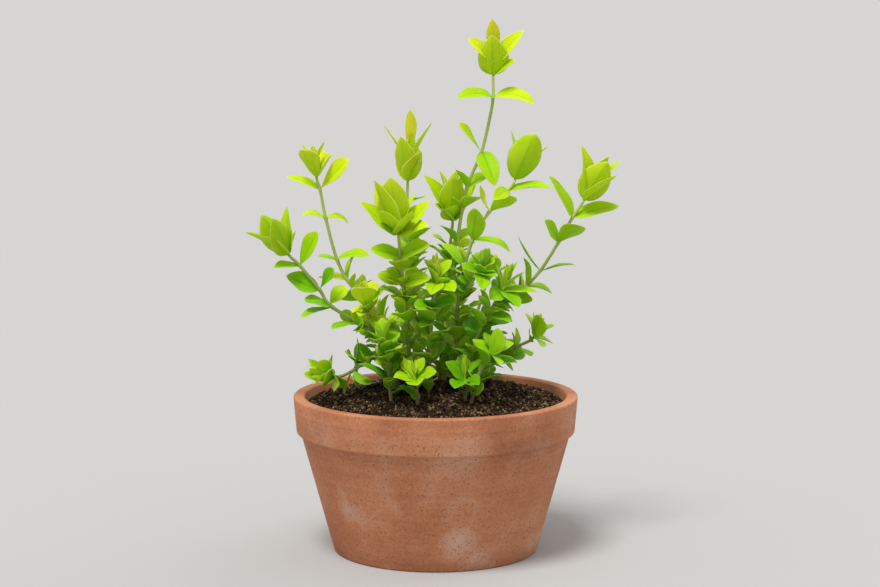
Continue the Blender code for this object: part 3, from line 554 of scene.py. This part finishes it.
        "own": [(2, 150, 7.5, 5, 25, 10, 0), (2, -45, 9, 5.5, 25, 20, 30)],
        "axis": [(35.5, 8, 17.5), (36.5, 8, 19)],
        "crown": [(0, -125, 10, 7, 55, 0, 0), (0, 25, 8.5, 5.5, 10, 15, 0),
                  (1, -25, 7, 5.5, 50, 5, 20), (1, 165, 7.5, 5, 30, 5, 0),
                  (0, -65, 8.5, 6, -5, 25, 0)],
    },
    "front_right": {
        "route": [(11.5, -24, -4), (15, -26, 8.5), (18, -27, 14)],
        "nodes": (0.7, 1.4),
        "axis": [(19, -27, 16), (19.5, -27, 17.5)],
        "crown": [(0, -135, 10, 7.5, 75, -5, 0), (0, 0, 8.5, 6, 55, 15, 20),
                  (0, 160, 8, 6, 10, 10, -20), (1, 130, 8, 5.5, 35, 0, 0),
                  (0, -65, 7.5, 6.5, -5, 25, 0)],
    },
    "creeping": {
        "route": [(-12, -10, -5), (-15.5, -10, 9.5), (-20.5, -11, 12), (-24.5, -12, 10),
                  (-28, -12, 7.5), (-31.5, -12, 5.6), (-34, -12, 5)],
        "nodes": (0.8, 2.0),
        "own": [(4, 180, 11.5, 4.5, -40, -35, 0), (4, -30, 10.5, 6, -20, 20, 40)],
        "axis": [(-36, -12.2, 5.2), (-37.2, -12.6, 6.6)],
        "crown": [(0, -150, 11.5, 7, 20, 15, -30, 0.45), (0, -60, 10, 7.5, -25, 20, 40, 0.5),
                  (0, -100, 12.5, 8, -5, 20, 0, 0.5), (0, 120, 9, 6.5, 15, 20, 0),
                  (1, 175, 9.5, 4.5, 65, -20, -30, 0.45), (1, -130, 9.5, 6.5, 35, 10, -20, 0.45),
                  (1, 25, 7.5, 6, 15, 15, 0), (2, -80, 7, 5.5, 70, -10, 0, 0.45)],
    },
    "front_centre": {
        "route": [(-6, -26, -4), (-6.5, -27, 5)],
        "axis": [(-7, -27, 7), (-7, -27, 8.5)],
        "crown": [(0, -155, 8, 7, 25, 20, -30), (0, -20, 8, 7, 10, 20, 30),
                  (0, -85, 10, 7, 0, 20, 0), (1, 40, 7.5, 6, 50, 0, 0),
                  (1, 120, 8, 6, 45, 0, 0), (2, 180, 5, 4, 90, 0, 0)],
    },
    "front_low": {
        "route": [(10, -22, -4), (10, -23, 4.5)],
        "axis": [(10, -23, 6.5), (10, -23, 8.5)],
        "crown": [(0, -170, 9, 7, 45, 10, -40), (0, -110, 10.5, 6.5, -5, 20, 0),
                  (1, 10, 8, 6, 45, 5, 0), (0, -35, 8.5, 6, 0, 20, 30),
                  (1, 110, 8, 5.5, 65, 0, 0)],
    },
    "centre": {
        "route": [(-2.5, -14, -4), (-2, -17, 16), (-1, -20, 30.5), (0.5, -20, 37)],
        "nodes": (0.7, 1.15, 1.55, 2.5),
        "own": [(2, -125, 10, 6, 5, 25, -30), (2, -25, 9, 6, 25, 25, 30)],
        "axis": [(0.5, -20, 39.5), (0.5, -20, 41.5)],
        "crown": [(0, -55, 10, 7, -10, 25, 20), (0, -165, 7.5, 6.5, 0, 25, -20),
                  (1, -155, 8.5, 6, 60, 5, 0), (1, 35, 8.5, 6, 50, 5, 0),
                  (0, -100, 11.5, 6.5, -10, 30, 0), (2, 0, 5.5, 4.5, 85, 0, 0)],
    },
    "middle": {
        "fork": ("oval_bud", 2.05),
        "route": [(12, -19, 38.5), (14, -20, 41.5)],
        "axis": [(15, -20, 43.5), (15.5, -20, 45)],
        "crown": [(0, -35, 7, 6, 15, 20, 30), (1, 30, 6, 5.5, 50, 5, 0),
                  (0, -130, 9, 6, -5, 20, -20), (1, -160, 6, 5.5, 35, 0, 0),
                  (2, 180, 5, 4.5, 75, 0, 0), (0, -70, 11, 6.5, -20, 30, 0)],
    },
    "back_left": {
        "route": [(-2.5, 20, -6), (-5.5, 28, 9), (-8, 34, 24.5), (-9.5, 37, 38)],
        "nodes": (1.0, 1.5),
        "own": [(2, 145, 10.5, 6, 30, 25, 0), (2, -45, 11.5, 6, 0, 25, 0)],
        "axis": [(-10, 38, 41), (-10, 39, 43)],
        "crown": [(0, 155, 10, 6.5, 45, 25, 0), (0, -30, 8.5, 6.5, 10, 25, 0),
                  (1, 90, 11.5, 6, 50, 15, 0), (1, -70, 12, 6, 20, 5, 0),
                  (2, -85, 6.5, 4.5, 65, 0, 0)],
    },
    "back_right": {
        "route": [(7.5, 18, -6), (10.5, 26, 6.5), (15, 33, 20.5), (18.5, 36, 31)],
        "nodes": (1.0, 1.5),
        "own": [(2, 0, 9.5, 6, 30, 25, 0), (2, 155, 8.5, 6, 15, 25, 0)],
        "axis": [(19, 37, 34), (20, 38, 36)],
        "crown": [(0, 15, 10, 6.5, 45, 25, 0), (0, -170, 7, 6.5, 10, 25, 0),
                  (1, 95, 11.5, 6, 55, 15, 0), (1, -80, 10, 6, 35, 5, 0),
                  (2, -110, 7, 4.5, 65, 0, 0)],
    },
    "back_low": {
        "route": [(3.5, 26, -6), (4.5, 31, 3), (6, 34, 9.5)],
        "nodes": (1.2,),
        "axis": [(6.5, 35, 11.5), (6.5, 36, 13.5)],
        "crown": [(0, 150, 8.5, 6.5, 15, 20, 0), (0, 0, 8, 6.5, 30, 20, 0),
                  (1, 85, 9, 6, 45, 10, 0), (1, -100, 9.5, 6, 40, 5, 0)],
    },
    "back_low_left": {
        "route": [(-10, 22, -6), (-13.5, 28, 3), (-15.5, 31, 8)],
        "axis": [(-16, 31, 10), (-16.5, 32, 12)],
        "crown": [(0, 160, 8.5, 6.5, 25, 20, 0), (0, 25, 7.5, 6.5, 15, 20, 0),
                  (1, 90, 9.5, 6, 35, 10, 0), (1, -65, 9, 6, 40, 5, 0)],
    },
}


class Axis:
    """A smooth line through given points, read by station: point 2 is station 2.

    The stem runs up to the station called end, and the growing tip goes on from there.
    """

    def __init__(self, stem_points, crown_points):
        self.points = stem_points + crown_points
        self.end = len(stem_points) - 1
        self.last = len(self.points) - 1

    def at(self, station):
        """The place at a station, on a curve that runs through every point."""
        last = self.last
        i = min(int(station), last - 1)
        t = station - i
        p1, p2 = self.points[i], self.points[i + 1]
        p0 = self.points[i - 1] if i else p1 - (p2 - p1)
        p3 = self.points[i + 2] if i + 2 <= last else p2 + (p2 - p1)
        return 0.5 * (2 * p1 + (p2 - p0) * t + (2 * p0 - 5 * p1 + 4 * p2 - p3) * t * t
                      + (3 * p1 - p0 - 3 * p2 + p3) * t ** 3)

    def tangent(self, station):
        a, b = max(0, station - TANGENT_STEP), min(self.last, station + TANGENT_STEP)
        return (self.at(b) - self.at(a)).normalized()

    def radius(self, station):
        if station <= self.end:
            return STEM_RADIUS_LOW + (STEM_RADIUS_TOP - STEM_RADIUS_LOW) * station / self.end
        return STEM_RADIUS_TOP * (1 - CROWN_TAPER * (station - self.end) / (self.last - self.end))

    def fine(self, low, high, pitch=STEM_STEP):
        """Stations from low to high, a short even step apart."""
        found = [low]
        for whole in range(int(low), math.ceil(high)):
            a, b = max(low, whole), min(high, whole + 1)
            steps = max(1, round((self.at(b) - self.at(a)).length / pitch))
            found += [a + (b - a) * (k + 1) / steps for k in range(steps)]
        return found


def placed(points):
    """Plan points in millimetres above the soil's middle, as metres."""
    return [Vector((x * MM, y * MM, SOIL_CROWN + z * MM)) for x, y, z in points]


def tube(name, places, radii):
    """A round stem drawn along places, as a closed mesh."""
    curve = bpy.data.curves.new(name, "CURVE")
    curve.dimensions = "3D"
    curve.bevel_depth = 1.0
    curve.bevel_resolution = STEM_ROUND
    curve.use_fill_caps = True
    spline = curve.splines.new("POLY")
    spline.points.add(len(places) - 1)
    for knot, place, radius in zip(spline.points, places, radii):
        knot.co = (*place, 1)
        knot.radius = radius
    drawn = bpy.data.objects.new(name, curve)
    bpy.context.scene.collection.objects.link(drawn)
    graph = bpy.context.evaluated_depsgraph_get()
    mesh = bpy.data.meshes.new_from_object(drawn.evaluated_get(graph))
    bpy.data.objects.remove(drawn)
    bpy.data.curves.remove(curve)
    bm = bmesh.new()
    bm.from_mesh(mesh)
    bpy.data.meshes.remove(mesh)
    bmesh.ops.remove_doubles(bm, verts=bm.verts, dist=WELD)
    bmesh.ops.recalc_face_normals(bm, faces=bm.faces)
    return bm


stalk = Finish("stem_skin")
streak = stalk.grain(1, 3, stalk.stretched(STREAK_SCALE))
young = stalk.height().over(*STEM_YOUNG) + (stalk.grain(STEM_PATCH, 3) - 0.5) * 0.5
stalk_finish = stalk.shine({
    "Base Color": stalk.ramp(young + (streak - 0.5) * 0.25,
                             [(0.0, STEM_BROWN), (0.22, STEM_OLIVE), (0.75, STEM_FRESH)]),
    "Roughness": 0.42 + streak * 0.12,
    "Subsurface Weight": 0.25,
    "Subsurface Radius": (0.6, 1.0, 0.25),
    "Subsurface Scale": STEM_CLEAR,
    "Normal": stalk.bump(streak, STEM_RELIEF, 0.6),
})

axes = {}
for name, shoot in SHOOTS.items():
    route = placed(shoot["route"])
    sprung = []
    if "fork" in shoot:
        parent, station = shoot["fork"]
        start = axes[parent].at(station)
        away = route[0] - start
        along = axes[parent].tangent(station)
        away = (away - along * away.dot(along)).normalized()
        route.insert(0, start + away * (axes[parent].radius(station) + FORK_GAP))
        sprung = [start + away * axes[parent].radius(station) * FORK_ROOT]
    axis = Axis(route, placed(shoot["axis"]))
    axes[name] = axis
    joints = [leaf[0] for leaf in shoot.get("own", ())] + list(shoot.get("nodes", ()))
    joints += [leaves[0][0] for leaves in shoot.get("pairs", {}).values()]
    joints = [axis.at(station) for station in joints]
    stations = axis.fine(0, axis.end + STALK_TOP)
    places = [axis.at(s) for s in stations]
    radii = []
    for station, place in zip(stations, places):
        near = min([(place - joint).length for joint in joints], default=math.inf)
        radii.append(axis.radius(station) * (1 + JOINT_SWELL * math.exp(-(near / JOINT_REACH) ** 2)))
    bm = tube(name, sprung + places, radii[:1] * len(sprung) + radii)
    piece(name + "_stalk", bm, stalk_finish, "stem", name + "_stem")


# Leaves along the stems. Stalkless oval leaves in pairs, each pair crosswise to the one below, and
# small leaflets in their axils low in the clump: a little fleshy, folded at the midrib, with faint
# veins from base to tip, painted shade along the midrib, and thin edges and tips painted pale as rim
# light. The low ones are deep green and the upper ones lime.
BASE_OUT = 0.3 * MM
BASE_UP = 0.23 * MM
TURNS = (0, 12, -12, 24, -24, 36, -36, 48, -48, 62, -62, 76, -76, 90, -90)
SIZES = (1.0, 0.85, 0.7, 0.58, 0.48)
NODE_START = 35
NODE_TURN = 90
NODE_LENGTH = 10.8
NODE_SWING = 1.5
NODE_WIDTH = 0.74
NODE_RISE = 35
NODE_DROOP = 30
NODE_FULLEST = 0.55
LEAF_FULLEST = 0.53
TIP_STEP = 0.02 * MM
LEAF_THICK = 0.30 * MM
FLESH_ABOVE = 0.35
FLESH_BELOW = 0.65
FULL_FLESH = 1.2 * MM
TIP_THINNER = 0.4
LEAF_KEEL = 0.14 * MM
LEAF_CREASE = 0.16 * MM
FULL_KEEL = 1.0 * MM
CREASE_WIDE = 0.22
LEAF_TWIST = 14
LEAF_CURL = 0.05
CURL_RANGE = (-0.4, 1.0)
LEAF_RIPPLE = 0.06
RIPPLES = 1.6
RIPPLE_SHIFT = 1.3
STRAIGHT = 0.01
TINY = 1e-4
# A leaf's form is its cup, how blunt its base and its tip are, and its grid of faces across and along.
STEM_LEAF = (0.22, (0.72, 0.58), (12, 11))
LEAFLET = (0.22, (0.72, 0.58), (8, 8))
# The leaflets' length in millimetres, their width as a share of it, rise and droop in degrees, pitch
# along the stem, and how high, how far out and how near to the soil they may be.
AXIL_LENGTH = (4.5, 8.8)
AXIL_WIDTH = (0.58, 0.78)
AXIL_RISE = (5, 60)
AXIL_DROOP = (5, 40)
AXIL_PITCH = 1.35 * MM
AXIL_TOP = 46 * MM
AXIL_REACH = 34 * MM
AXIL_CLEAR = 1 * MM
PLANT_HEIGHT = 128 * MM
# A tone runs from 0, deep green, to 1, copper. A group's tone is what it is at the soil, what it gains
# up to the plant's top, and how far one leaf may fall below and rise above that.
STEM_LEAF_TONE = (0.47, 0.34, -0.10, 0.14)
LEAFLET_TONE = (0.54, 0.34, -0.12, 0.16)
LEAF_TONES = [(0.00, (0.018, 0.145, 0.002, 1)), (0.25, (0.066, 0.335, 0.002, 1)),
              (0.50, (0.195, 0.535, 0.003, 1)), (0.72, (0.490, 0.755, 0.004, 1)),
              (0.86, (0.720, 0.890, 0.010, 1)), (0.93, (0.840, 0.900, 0.040, 1)),
              (1.00, (0.920, 0.760, 0.035, 1))]
# Painted rim light: the pale colour laid on the leaves' edges and tips.
PAINTED_RIM_LIGHT = (0.880, 0.930, 0.420, 1)
LEAF_BELOW = (0.430, 0.600, 0.030, 1)
VEIN_PITCH = 0.36
VEIN_WIDE = 0.07
CLOUD_SCALE = 230
CELL_SCALE = 2600
SWELL_SCALE = 420
LEAF_RELIEF = 0.18 * MM
LEAF_CLEAR = 0.8 * MM
LIGHT_THROUGH = 0.25
SHOOT_TONES = {
    "tall": 0.01, "oval_bud": 0.0, "right": 0.04, "upright": 0.10, "left_centre": 0.06,
    "right_centre": 0.10, "upper_left": 0.14, "far_left": 0.04, "small_bud": 0.16,
    "low_left": -0.06, "right_middle": -0.12, "low_right": 0.02, "front_right": -0.10,
    "creeping": -0.06, "front_centre": -0.04, "front_low": -0.22, "centre": -0.04,
    "middle": -0.16, "back_left": -0.06, "back_right": -0.06, "back_low": -0.10,
    "back_low_left": -0.10,
}


class Midrib:
    """A leaf's bent middle line, with the way across and the way up at each place on it."""

    def __init__(self, base, along, azimuth, length, rise, droop, roll):
        azimuth, rise, droop, roll = (math.radians(v) for v in (azimuth, rise, droop, roll))
        flat = Vector((math.cos(azimuth), math.sin(azimuth), 0))
        self.base, self.along, self.length = base, along, length
        self.out = (flat - along * flat.dot(along)).normalized()
        self.bend = droop if abs(droop) > STRAIGHT else STRAIGHT
        self.first = rise + self.bend / 2
        chord = self.out * math.cos(rise) + along * math.sin(rise)
        self.spin = Matrix.Rotation(roll, 3, chord)

    def at(self, t):
        """The place at a share of the length, the way across and the way up."""
        turn = self.first - self.bend * t
        place = self.out * (math.sin(self.first) - math.sin(turn))
        place += self.along * (math.cos(turn) - math.cos(self.first))
        forward = self.out * math.cos(turn) + self.along * math.sin(turn)
        up = self.along * math.cos(turn) - self.out * math.sin(turn)
        place = self.base + self.spin @ (place * self.length / self.bend)
        return place, self.spin @ forward.cross(up), self.spin @ up


corners = {}
for node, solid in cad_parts.items():
    corners[node] = KDTree(len(solid.data.vertices))
    for number, vert in enumerate(solid.data.vertices):
        corners[node].insert(vert.co, number)
    corners[node].balance()


def settled(node, axis, leaf, clear):
    """A leaf as it stands on its solid, which turned or shrank it where its place was taken."""
    station, azimuth, length, width, rise, droop, roll, *fullest = leaf
    along = axis.tangent(station)
    tries = []
    for size in SIZES:
        for turn in TURNS:
            angle = math.radians(azimuth + turn)
            flat = Vector((math.cos(angle), math.sin(angle), 0))
            outward = (flat - along * flat.dot(along)).normalized()
            base = axis.at(station) + outward * clear + along * BASE_UP
            rib = Midrib(base, along, azimuth + turn, length * size * MM, rise, droop, roll)
            miss = corners[node].find(rib.at(1)[0])[2]
            tries.append((round(miss / TIP_STEP), len(tries), rib, outward, width * size * MM))
    _, _, rib, outward, width = min(tries)
    return rib, outward * (clear - BASE_OUT), (width, fullest[0] if fullest else LEAF_FULLEST)


def tone_at(place, group, shift):
    """A leaf's tone where it stands: deep green low down, pale and young above."""
    at_soil, gain, fall, rise = group
    risen = (place.z - SOIL_CROWN) / PLANT_HEIGHT
    return at_soil + gain * risen + shift + rng.uniform(fall, rise)


def add_leaf(bm, rib, outline, tone, form, drawn_in=Vector((0, 0, 0))):
    """One leaf: a ball pressed flat along its midrib, with folded blade, keel and thin edges.

    Its outline is its width and where it is widest, and its base is drawn in towards the stem.
    """
    blade = bm.verts.layers.float_vector.get("blade") or bm.verts.layers.float_vector.new("blade")
    tones = bm.verts.layers.float.get("tone") or bm.verts.layers.float.new("tone")
    twist = math.radians(rng.uniform(-LEAF_TWIST, LEAF_TWIST))
    curl = rng.uniform(*CURL_RANGE) * LEAF_CURL * rib.length
    phase = rng.uniform(0, 2 * math.pi)
    width, fullest = outline
    cup, blunt, (sides, steps) = form
    skew = math.log(0.5) / math.log(fullest)
    made = bmesh.ops.create_uvsphere(bm, u_segments=sides, v_segments=steps, radius=1)
    for vert in made["verts"]:
        x, y, z = vert.co
        t = min(1.0, max(0.0, (1 - z) / 2))
        round_part = math.hypot(x, y)
        across = x / round_part if round_part > TINY else 0.0
        depth = abs(y) / round_part if round_part > TINY else 0.0
        half = width / 2 * abs(math.sin(math.pi * t ** skew)) ** blunt[t > fullest]
        place, side, up = rib.at(t)
        turn = 2 * math.pi * RIPPLES * t + phase + (RIPPLE_SHIFT if across > 0 else 0)
        ripple = LEAF_RIPPLE * math.sin(turn) * across ** 2
        lift = (cup * (0.6 * across ** 2 + 0.4 * abs(across)) + ripple) * half - curl * t ** 3
        flesh = LEAF_THICK * min(1.0, half / FULL_FLESH) * (1 - TIP_THINNER * t)
        middle = math.exp(-(across / CREASE_WIDE) ** 2) * min(1.0, half / FULL_KEEL) * (1 - t)
        if y > 0:
            lift += FLESH_ABOVE * flesh * depth - LEAF_CREASE * middle
        else:
            lift -= FLESH_BELOW * flesh * depth + LEAF_KEEL * middle
        lean = twist * t
        across_way = side * math.cos(lean) + up * math.sin(lean)
        up_way = up * math.cos(lean) - side * math.sin(lean)
        vert.co = place + across_way * across * half + up_way * lift - drawn_in * (1 - t) ** 3
        vert[blade] = (across, t, 1.0 if y > -TINY else 0.0)
        vert[tones] = tone


def leaf_skin(name, clear_colour):
    """A leaf's finish, coloured by its tone, with the light that passes through it."""
    leaf = Finish(name)
    blade = leaf.node("Attribute", {"attribute_name": "blade"}).outputs["Vector"]
    parts = leaf.node("SeparateXYZ", None, {0: blade})
    across, length, upper = (Value(leaf, socket) for socket in parts.outputs)
    tone = leaf.mark("tone")
    off = abs(across)
    cloud = leaf.grain(CLOUD_SCALE, 4) - 0.5
    vein = 1 - off.sum("PINGPONG", VEIN_PITCH).over(0.0, VEIN_WIDE)
    # Painted shade: the blade is darker along its midrib, as the shade that falls in its fold.
    midrib = 1 - off.over(0.02, 0.16)
    tip_fade = 1 - length.over(0.72, 1.0)
    lines = (vein * 0.05 - midrib * 0.12) * tip_fade
    colour = leaf.ramp(tone + cloud * (0.26 - tone * 0.20) + length * 0.06 + lines, LEAF_TONES)
    colour = leaf.mix((1 - upper) * 0.35, colour, LEAF_BELOW)
    # Painted rim light: edges and tips turn pale, as light shines through and glances off them.
    rim_light_mask = off.over(0.88, 0.99).sum("MAXIMUM", length.over(0.92, 1.0))
    colour = leaf.mix(rim_light_mask * 0.45, colour, PAINTED_RIM_LIGHT)
    cells = leaf.grain(CELL_SCALE, 3)
    dents = vein * tip_fade * -0.5 + cells * 0.35 + leaf.grain(SWELL_SCALE, 3) * 0.9
    shader = leaf.node("BsdfPrincipled", None, {
        "Base Color": colour,
        "Roughness": 0.40 + cells * 0.12 + (1 - upper) * 0.12,
        "Specular IOR Level": 0.11,
        "Subsurface Weight": 0.30,
        "Subsurface Radius": (0.7, 1.0, 0.10),
        "Subsurface Scale": LEAF_CLEAR,
        "Normal": leaf.bump(dents, LEAF_RELIEF, 0.7),
    })
    glow = leaf.node("BsdfTranslucent", None, {"Color": clear_colour})
    mixed = leaf.node("MixShader", None, {0: LIGHT_THROUGH, 1: shader.outputs[0], 2: glow.outputs[0]})
    leaf.node("OutputMaterial", None, {0: mixed.outputs[0]})
    return leaf.material


green_leaf = leaf_skin("green_leaf", (0.36, 0.66, 0.005, 1))
rng = random.Random(5)

for number, (name, shoot) in enumerate(SHOOTS.items()):
    axis, node = axes[name], name + "_stem"
    leaves = list(shoot.get("own", ()))
    for k, station in enumerate(shoot.get("nodes", ())):
        azimuth = NODE_START * (number + 1) + NODE_TURN * k
        length = NODE_LENGTH + NODE_SWING * math.sin(3 * number + 2 * k)
        for side in (0, 180):
            leaves.append((station, azimuth + side, length, length * NODE_WIDTH,
                           NODE_RISE, NODE_DROOP, 0, NODE_FULLEST))
    bm = bmesh.new()
    for leaf in leaves:
        rib, drawn_in, outline = settled(node, axis, leaf, BASE_OUT)
        tone = tone_at(rib.base, STEM_LEAF_TONE, SHOOT_TONES[name])
        add_leaf(bm, rib, outline, tone, STEM_LEAF, drawn_in)
    for station in axis.fine(0, axis.end, AXIL_PITCH):
        base = axis.at(station)
        length = rng.uniform(*AXIL_LENGTH)
        rise = rng.uniform(*AXIL_RISE)
        droop = rng.uniform(*AXIL_DROOP)
        rib = Midrib(base, axis.tangent(station), rng.uniform(0, 360), length * MM, rise, droop, 0)
        end = rib.at(1)[0]
        above = min(base.z, end.z) - soil_height(base.x, base.y) > AXIL_CLEAR
        if above and math.hypot(*end.xy) < AXIL_REACH and base.z < SOIL_CROWN + AXIL_TOP:
            tone = tone_at(base, LEAFLET_TONE, SHOOT_TONES[name])
            outline = (length * rng.uniform(*AXIL_WIDTH) * MM, NODE_FULLEST)
            add_leaf(bm, rib, outline, tone, LEAFLET)
    piece(name + "_stem_leaves", bm, green_leaf, "leaf", node)


# Leaf pairs. The larger open leaves high on the tall shoots, two at a joint, whose bases meet round
# the stem. They bend over and turn as they age, so that some are seen edge on, by the painted rim
# light on their edges.
COLLAR_OUT = 0.65 * MM
PAIR_LEAF = (0.24, (0.60, 0.72), (16, 14))
PAIR_TONE = (0.48, 0.32, -0.06, 0.08)
PAIR_SHIFTS = {"oval_bud_middle_leaves": 0.16, "upper_left_top_leaves": 0.14,
               "right_upper_leaves": 0.05, "upper_left_middle_leaves": 0.08,
               "far_left_lower_leaves": -0.06}

for name, shoot in SHOOTS.items():
    axis = axes[name]
    for label, leaves in shoot.get("pairs", {}).items():
        clear = axis.radius(leaves[0][0]) + COLLAR_OUT
        bm = bmesh.new()
        for leaf in leaves:
            rib, drawn_in, outline = settled(label, axis, leaf, clear)
            tone = tone_at(rib.base, PAIR_TONE, PAIR_SHIFTS.get(label, 0))
            add_leaf(bm, rib, outline, tone, PAIR_LEAF, drawn_in)
        piece(label.replace("_leaves", "_pair"), bm, green_leaf, "leaf", label)


# Growing tips. Each shoot ends in a bud: young lime leaves cupped round a few slim ones and a yellow
# heart, closed on the tall shoots and open like a rosette on the low ones. The two highest shoots end
# in a leaf that is still copper.
BASE_LOW = 0.3  # how near a leaf's base comes to the tip's two ends, in stations
BASE_HIGH = 0.25
CLOSED_LEAF = (0.44, (0.42, 0.78), (16, 14))
OPEN_LEAF = (0.24, (0.50, 0.78), (16, 14))
FLARED_LEAF = (0.30, (0.95, 0.72), (16, 14))
BLUNT_LEAF = (0.44, (0.46, 0.52), (16, 14))
INNER_LEAF = (0.34, (0.55, 0.80), (12, 10))
HEART_LEAF = (0.50, (0.50, 0.78), (10, 8))
BLUNT_TIPS = ("oval_bud", "upper_left")
COPPER_TIPS = ("tall", "upright")
CLOSED_RISE = 50
FLARED_RISE = 70
STALK_BLADE = (0.3, 0.0, 1.0)
STALK_TONE = 0.72
TIP_TONE = (0.62, 0.14, -0.05, 0.07)
TIP_GAIN = 0.08
TIP_PALEST = 0.86
COPPER_TONE = 1.0
# The slim leaves stand inside the others, steeper and a share of their length.
INNER_LEAVES = 5
INNER_TOP = 1.2
INNER_SHARE = (0.55, 0.85)
INNER_WIDTH = (0.28, 0.42)
INNER_TURN = 30
INNER_STEEPER = (0.3, 0.9)
INNER_DROOP = (-25, 5)
INNER_TONE = (0.72, 0.0, -0.08, 0.12)
INNER_PALEST = 0.90
# The heart's leaves: azimuth, length and width in millimetres, and rise.
HEART_LEAVES = ((20, 3.6, 1.7, 78), (160, 3.2, 1.6, 80), (270, 2.6, 1.4, 84))
HEART_SINK = 0.5 * MM
HEART_TONE = 0.84
young_leaf = leaf_skin("young_leaf", (0.58, 0.80, 0.006, 1))

for name, shoot in SHOOTS.items():
    axis, node = axes[name], name + "_crown"
    stations = axis.fine(axis.end + STALK_TOP, axis.last)
    bm = tube(name, [axis.at(s) for s in stations], [axis.radius(s) for s in stations])
    blade = bm.verts.layers.float_vector.new("blade")
    tones = bm.verts.layers.float.new("tone")
    for vert in bm.verts:
        vert[blade] = STALK_BLADE
        vert[tones] = STALK_TONE
    low, high = axis.end + BASE_LOW, axis.last - BASE_HIGH
    for leaf in shoot["crown"]:
        leaf = (min(max(axis.end + leaf[0], low), high), *leaf[1:])
        station, rise = leaf[0], leaf[4]
        rib, drawn_in, outline = settled(node, axis, leaf, BASE_OUT)
        inner = (station - axis.end) / (axis.last - axis.end)
        tone = min(TIP_PALEST, tone_at(rib.base, TIP_TONE, TIP_GAIN * inner + SHOOT_TONES[name]))
        if name in COPPER_TIPS and station == high:
            tone = COPPER_TONE
        if name in BLUNT_TIPS:
            form = BLUNT_LEAF
        elif station > low and rise < FLARED_RISE:
            form = FLARED_LEAF
        else:
            form = CLOSED_LEAF if rise > CLOSED_RISE else OPEN_LEAF
        add_leaf(bm, rib, outline, tone, form, drawn_in)
    longest = max(leaf[2] for leaf in shoot["crown"])
    steepest = max(leaf[4] for leaf in shoot["crown"])
    for k in range(INNER_LEAVES):
        station = axis.end + rng.uniform(BASE_LOW, INNER_TOP)
        length = longest * rng.uniform(*INNER_SHARE)
        azimuth = 360 * k / INNER_LEAVES + rng.uniform(-INNER_TURN, INNER_TURN)
        rise = steepest + (90 - steepest) * rng.uniform(*INNER_STEEPER)
        rib = Midrib(axis.at(station), axis.tangent(station), azimuth, length * MM, rise,
                     rng.uniform(*INNER_DROOP), 0)
        outline = (length * rng.uniform(*INNER_WIDTH) * MM, LEAF_FULLEST)
        tone = min(INNER_PALEST, tone_at(rib.base, INNER_TONE, SHOOT_TONES[name]))
        add_leaf(bm, rib, outline, tone, INNER_LEAF)
    along = axis.tangent(axis.last)
    heart = axis.at(axis.last) - along * HEART_SINK
    for azimuth, length, width, rise in HEART_LEAVES:
        rib = Midrib(heart, along, azimuth, length * MM, rise, 0, 0)
        add_leaf(bm, rib, (width * MM, LEAF_FULLEST), HEART_TONE, HEART_LEAF)
    piece(name + "_tip", bm, young_leaf, "young_leaf", node)


# Studio. A plain pale floor that runs out to the horizon, an even sky and two soft lamps, with the
# photograph's near-level view of the plant.
FLOOR_RADIUS = 4.0
FLOOR_TURNS = 96
FLOOR_COLOUR = (0.425, 0.425, 0.425, 1)
WORLD_COLOUR = (1.0, 0.99, 0.97, 1)
WORLD_STRENGTH = 0.67
# The direction that each lamp shines from, its strength and its softness in degrees.
LAMPS = {"overhead": ((-0.35, -0.65, 1.6), 2.8, 20), "right_back": ((0.9, 0.8, 0.9), 0.55, 50)}
LAMP_COLOUR = (1.0, 0.99, 0.965)
VIEW_HEIGHT = 7
VIEW_DISTANCE = 0.68
VIEW_AIM = Vector((0, 0, 90.5 * MM))
VIEW_SHIFT = 0.005
PIXEL = 0.35 * MM  # what one pixel of the picture covers at the plant
PHOTO_WIDTH = 880
SENSOR = 36
NEAREST = 10 * MM

bm = bmesh.new()
bmesh.ops.create_circle(bm, cap_ends=True, segments=FLOOR_TURNS, radius=FLOOR_RADIUS)
floor_mesh = bpy.data.meshes.new("floor")
bm.to_mesh(floor_mesh)
bm.free()
floor = bpy.data.objects.new("floor", floor_mesh)
bpy.context.scene.collection.objects.link(floor)
paper = Finish("pale_floor")
matt = {"Base Color": FLOOR_COLOUR, "Roughness": 1.0, "Specular IOR Level": 0.0}
floor_mesh.materials.append(paper.shine(matt))

world = bpy.data.worlds.new("studio")
world.use_nodes = True
sky = world.node_tree.nodes["Background"]
sky.inputs["Color"].default_value = WORLD_COLOUR
sky.inputs["Strength"].default_value = WORLD_STRENGTH
bpy.context.scene.world = world

for name, (source, strength, softness) in LAMPS.items():
    lamp = bpy.data.lights.new(name, "SUN")
    lamp.energy = strength
    lamp.angle = math.radians(softness)
    lamp.color = LAMP_COLOUR
    stand = bpy.data.objects.new(name, lamp)
    stand.rotation_euler = Vector(source).to_track_quat("Z", "Y").to_euler()
    bpy.context.scene.collection.objects.link(stand)

lens = bpy.data.cameras.new("camera")
lens.sensor_width = SENSOR
lens.lens = SENSOR * VIEW_DISTANCE / (PHOTO_WIDTH * PIXEL)
lens.shift_x = VIEW_SHIFT
lens.clip_start = NEAREST
camera = bpy.data.objects.new("camera", lens)
level = math.radians(VIEW_HEIGHT)
camera.location = VIEW_AIM + Vector((0, -math.cos(level), math.sin(level))) * VIEW_DISTANCE
camera.rotation_euler = (math.radians(90 - VIEW_HEIGHT), 0, 0)
bpy.context.scene.collection.objects.link(camera)
bpy.context.scene.camera = camera
bpy.context.scene.view_settings.view_transform = "Standard"

bpy.context.view_layer.update()
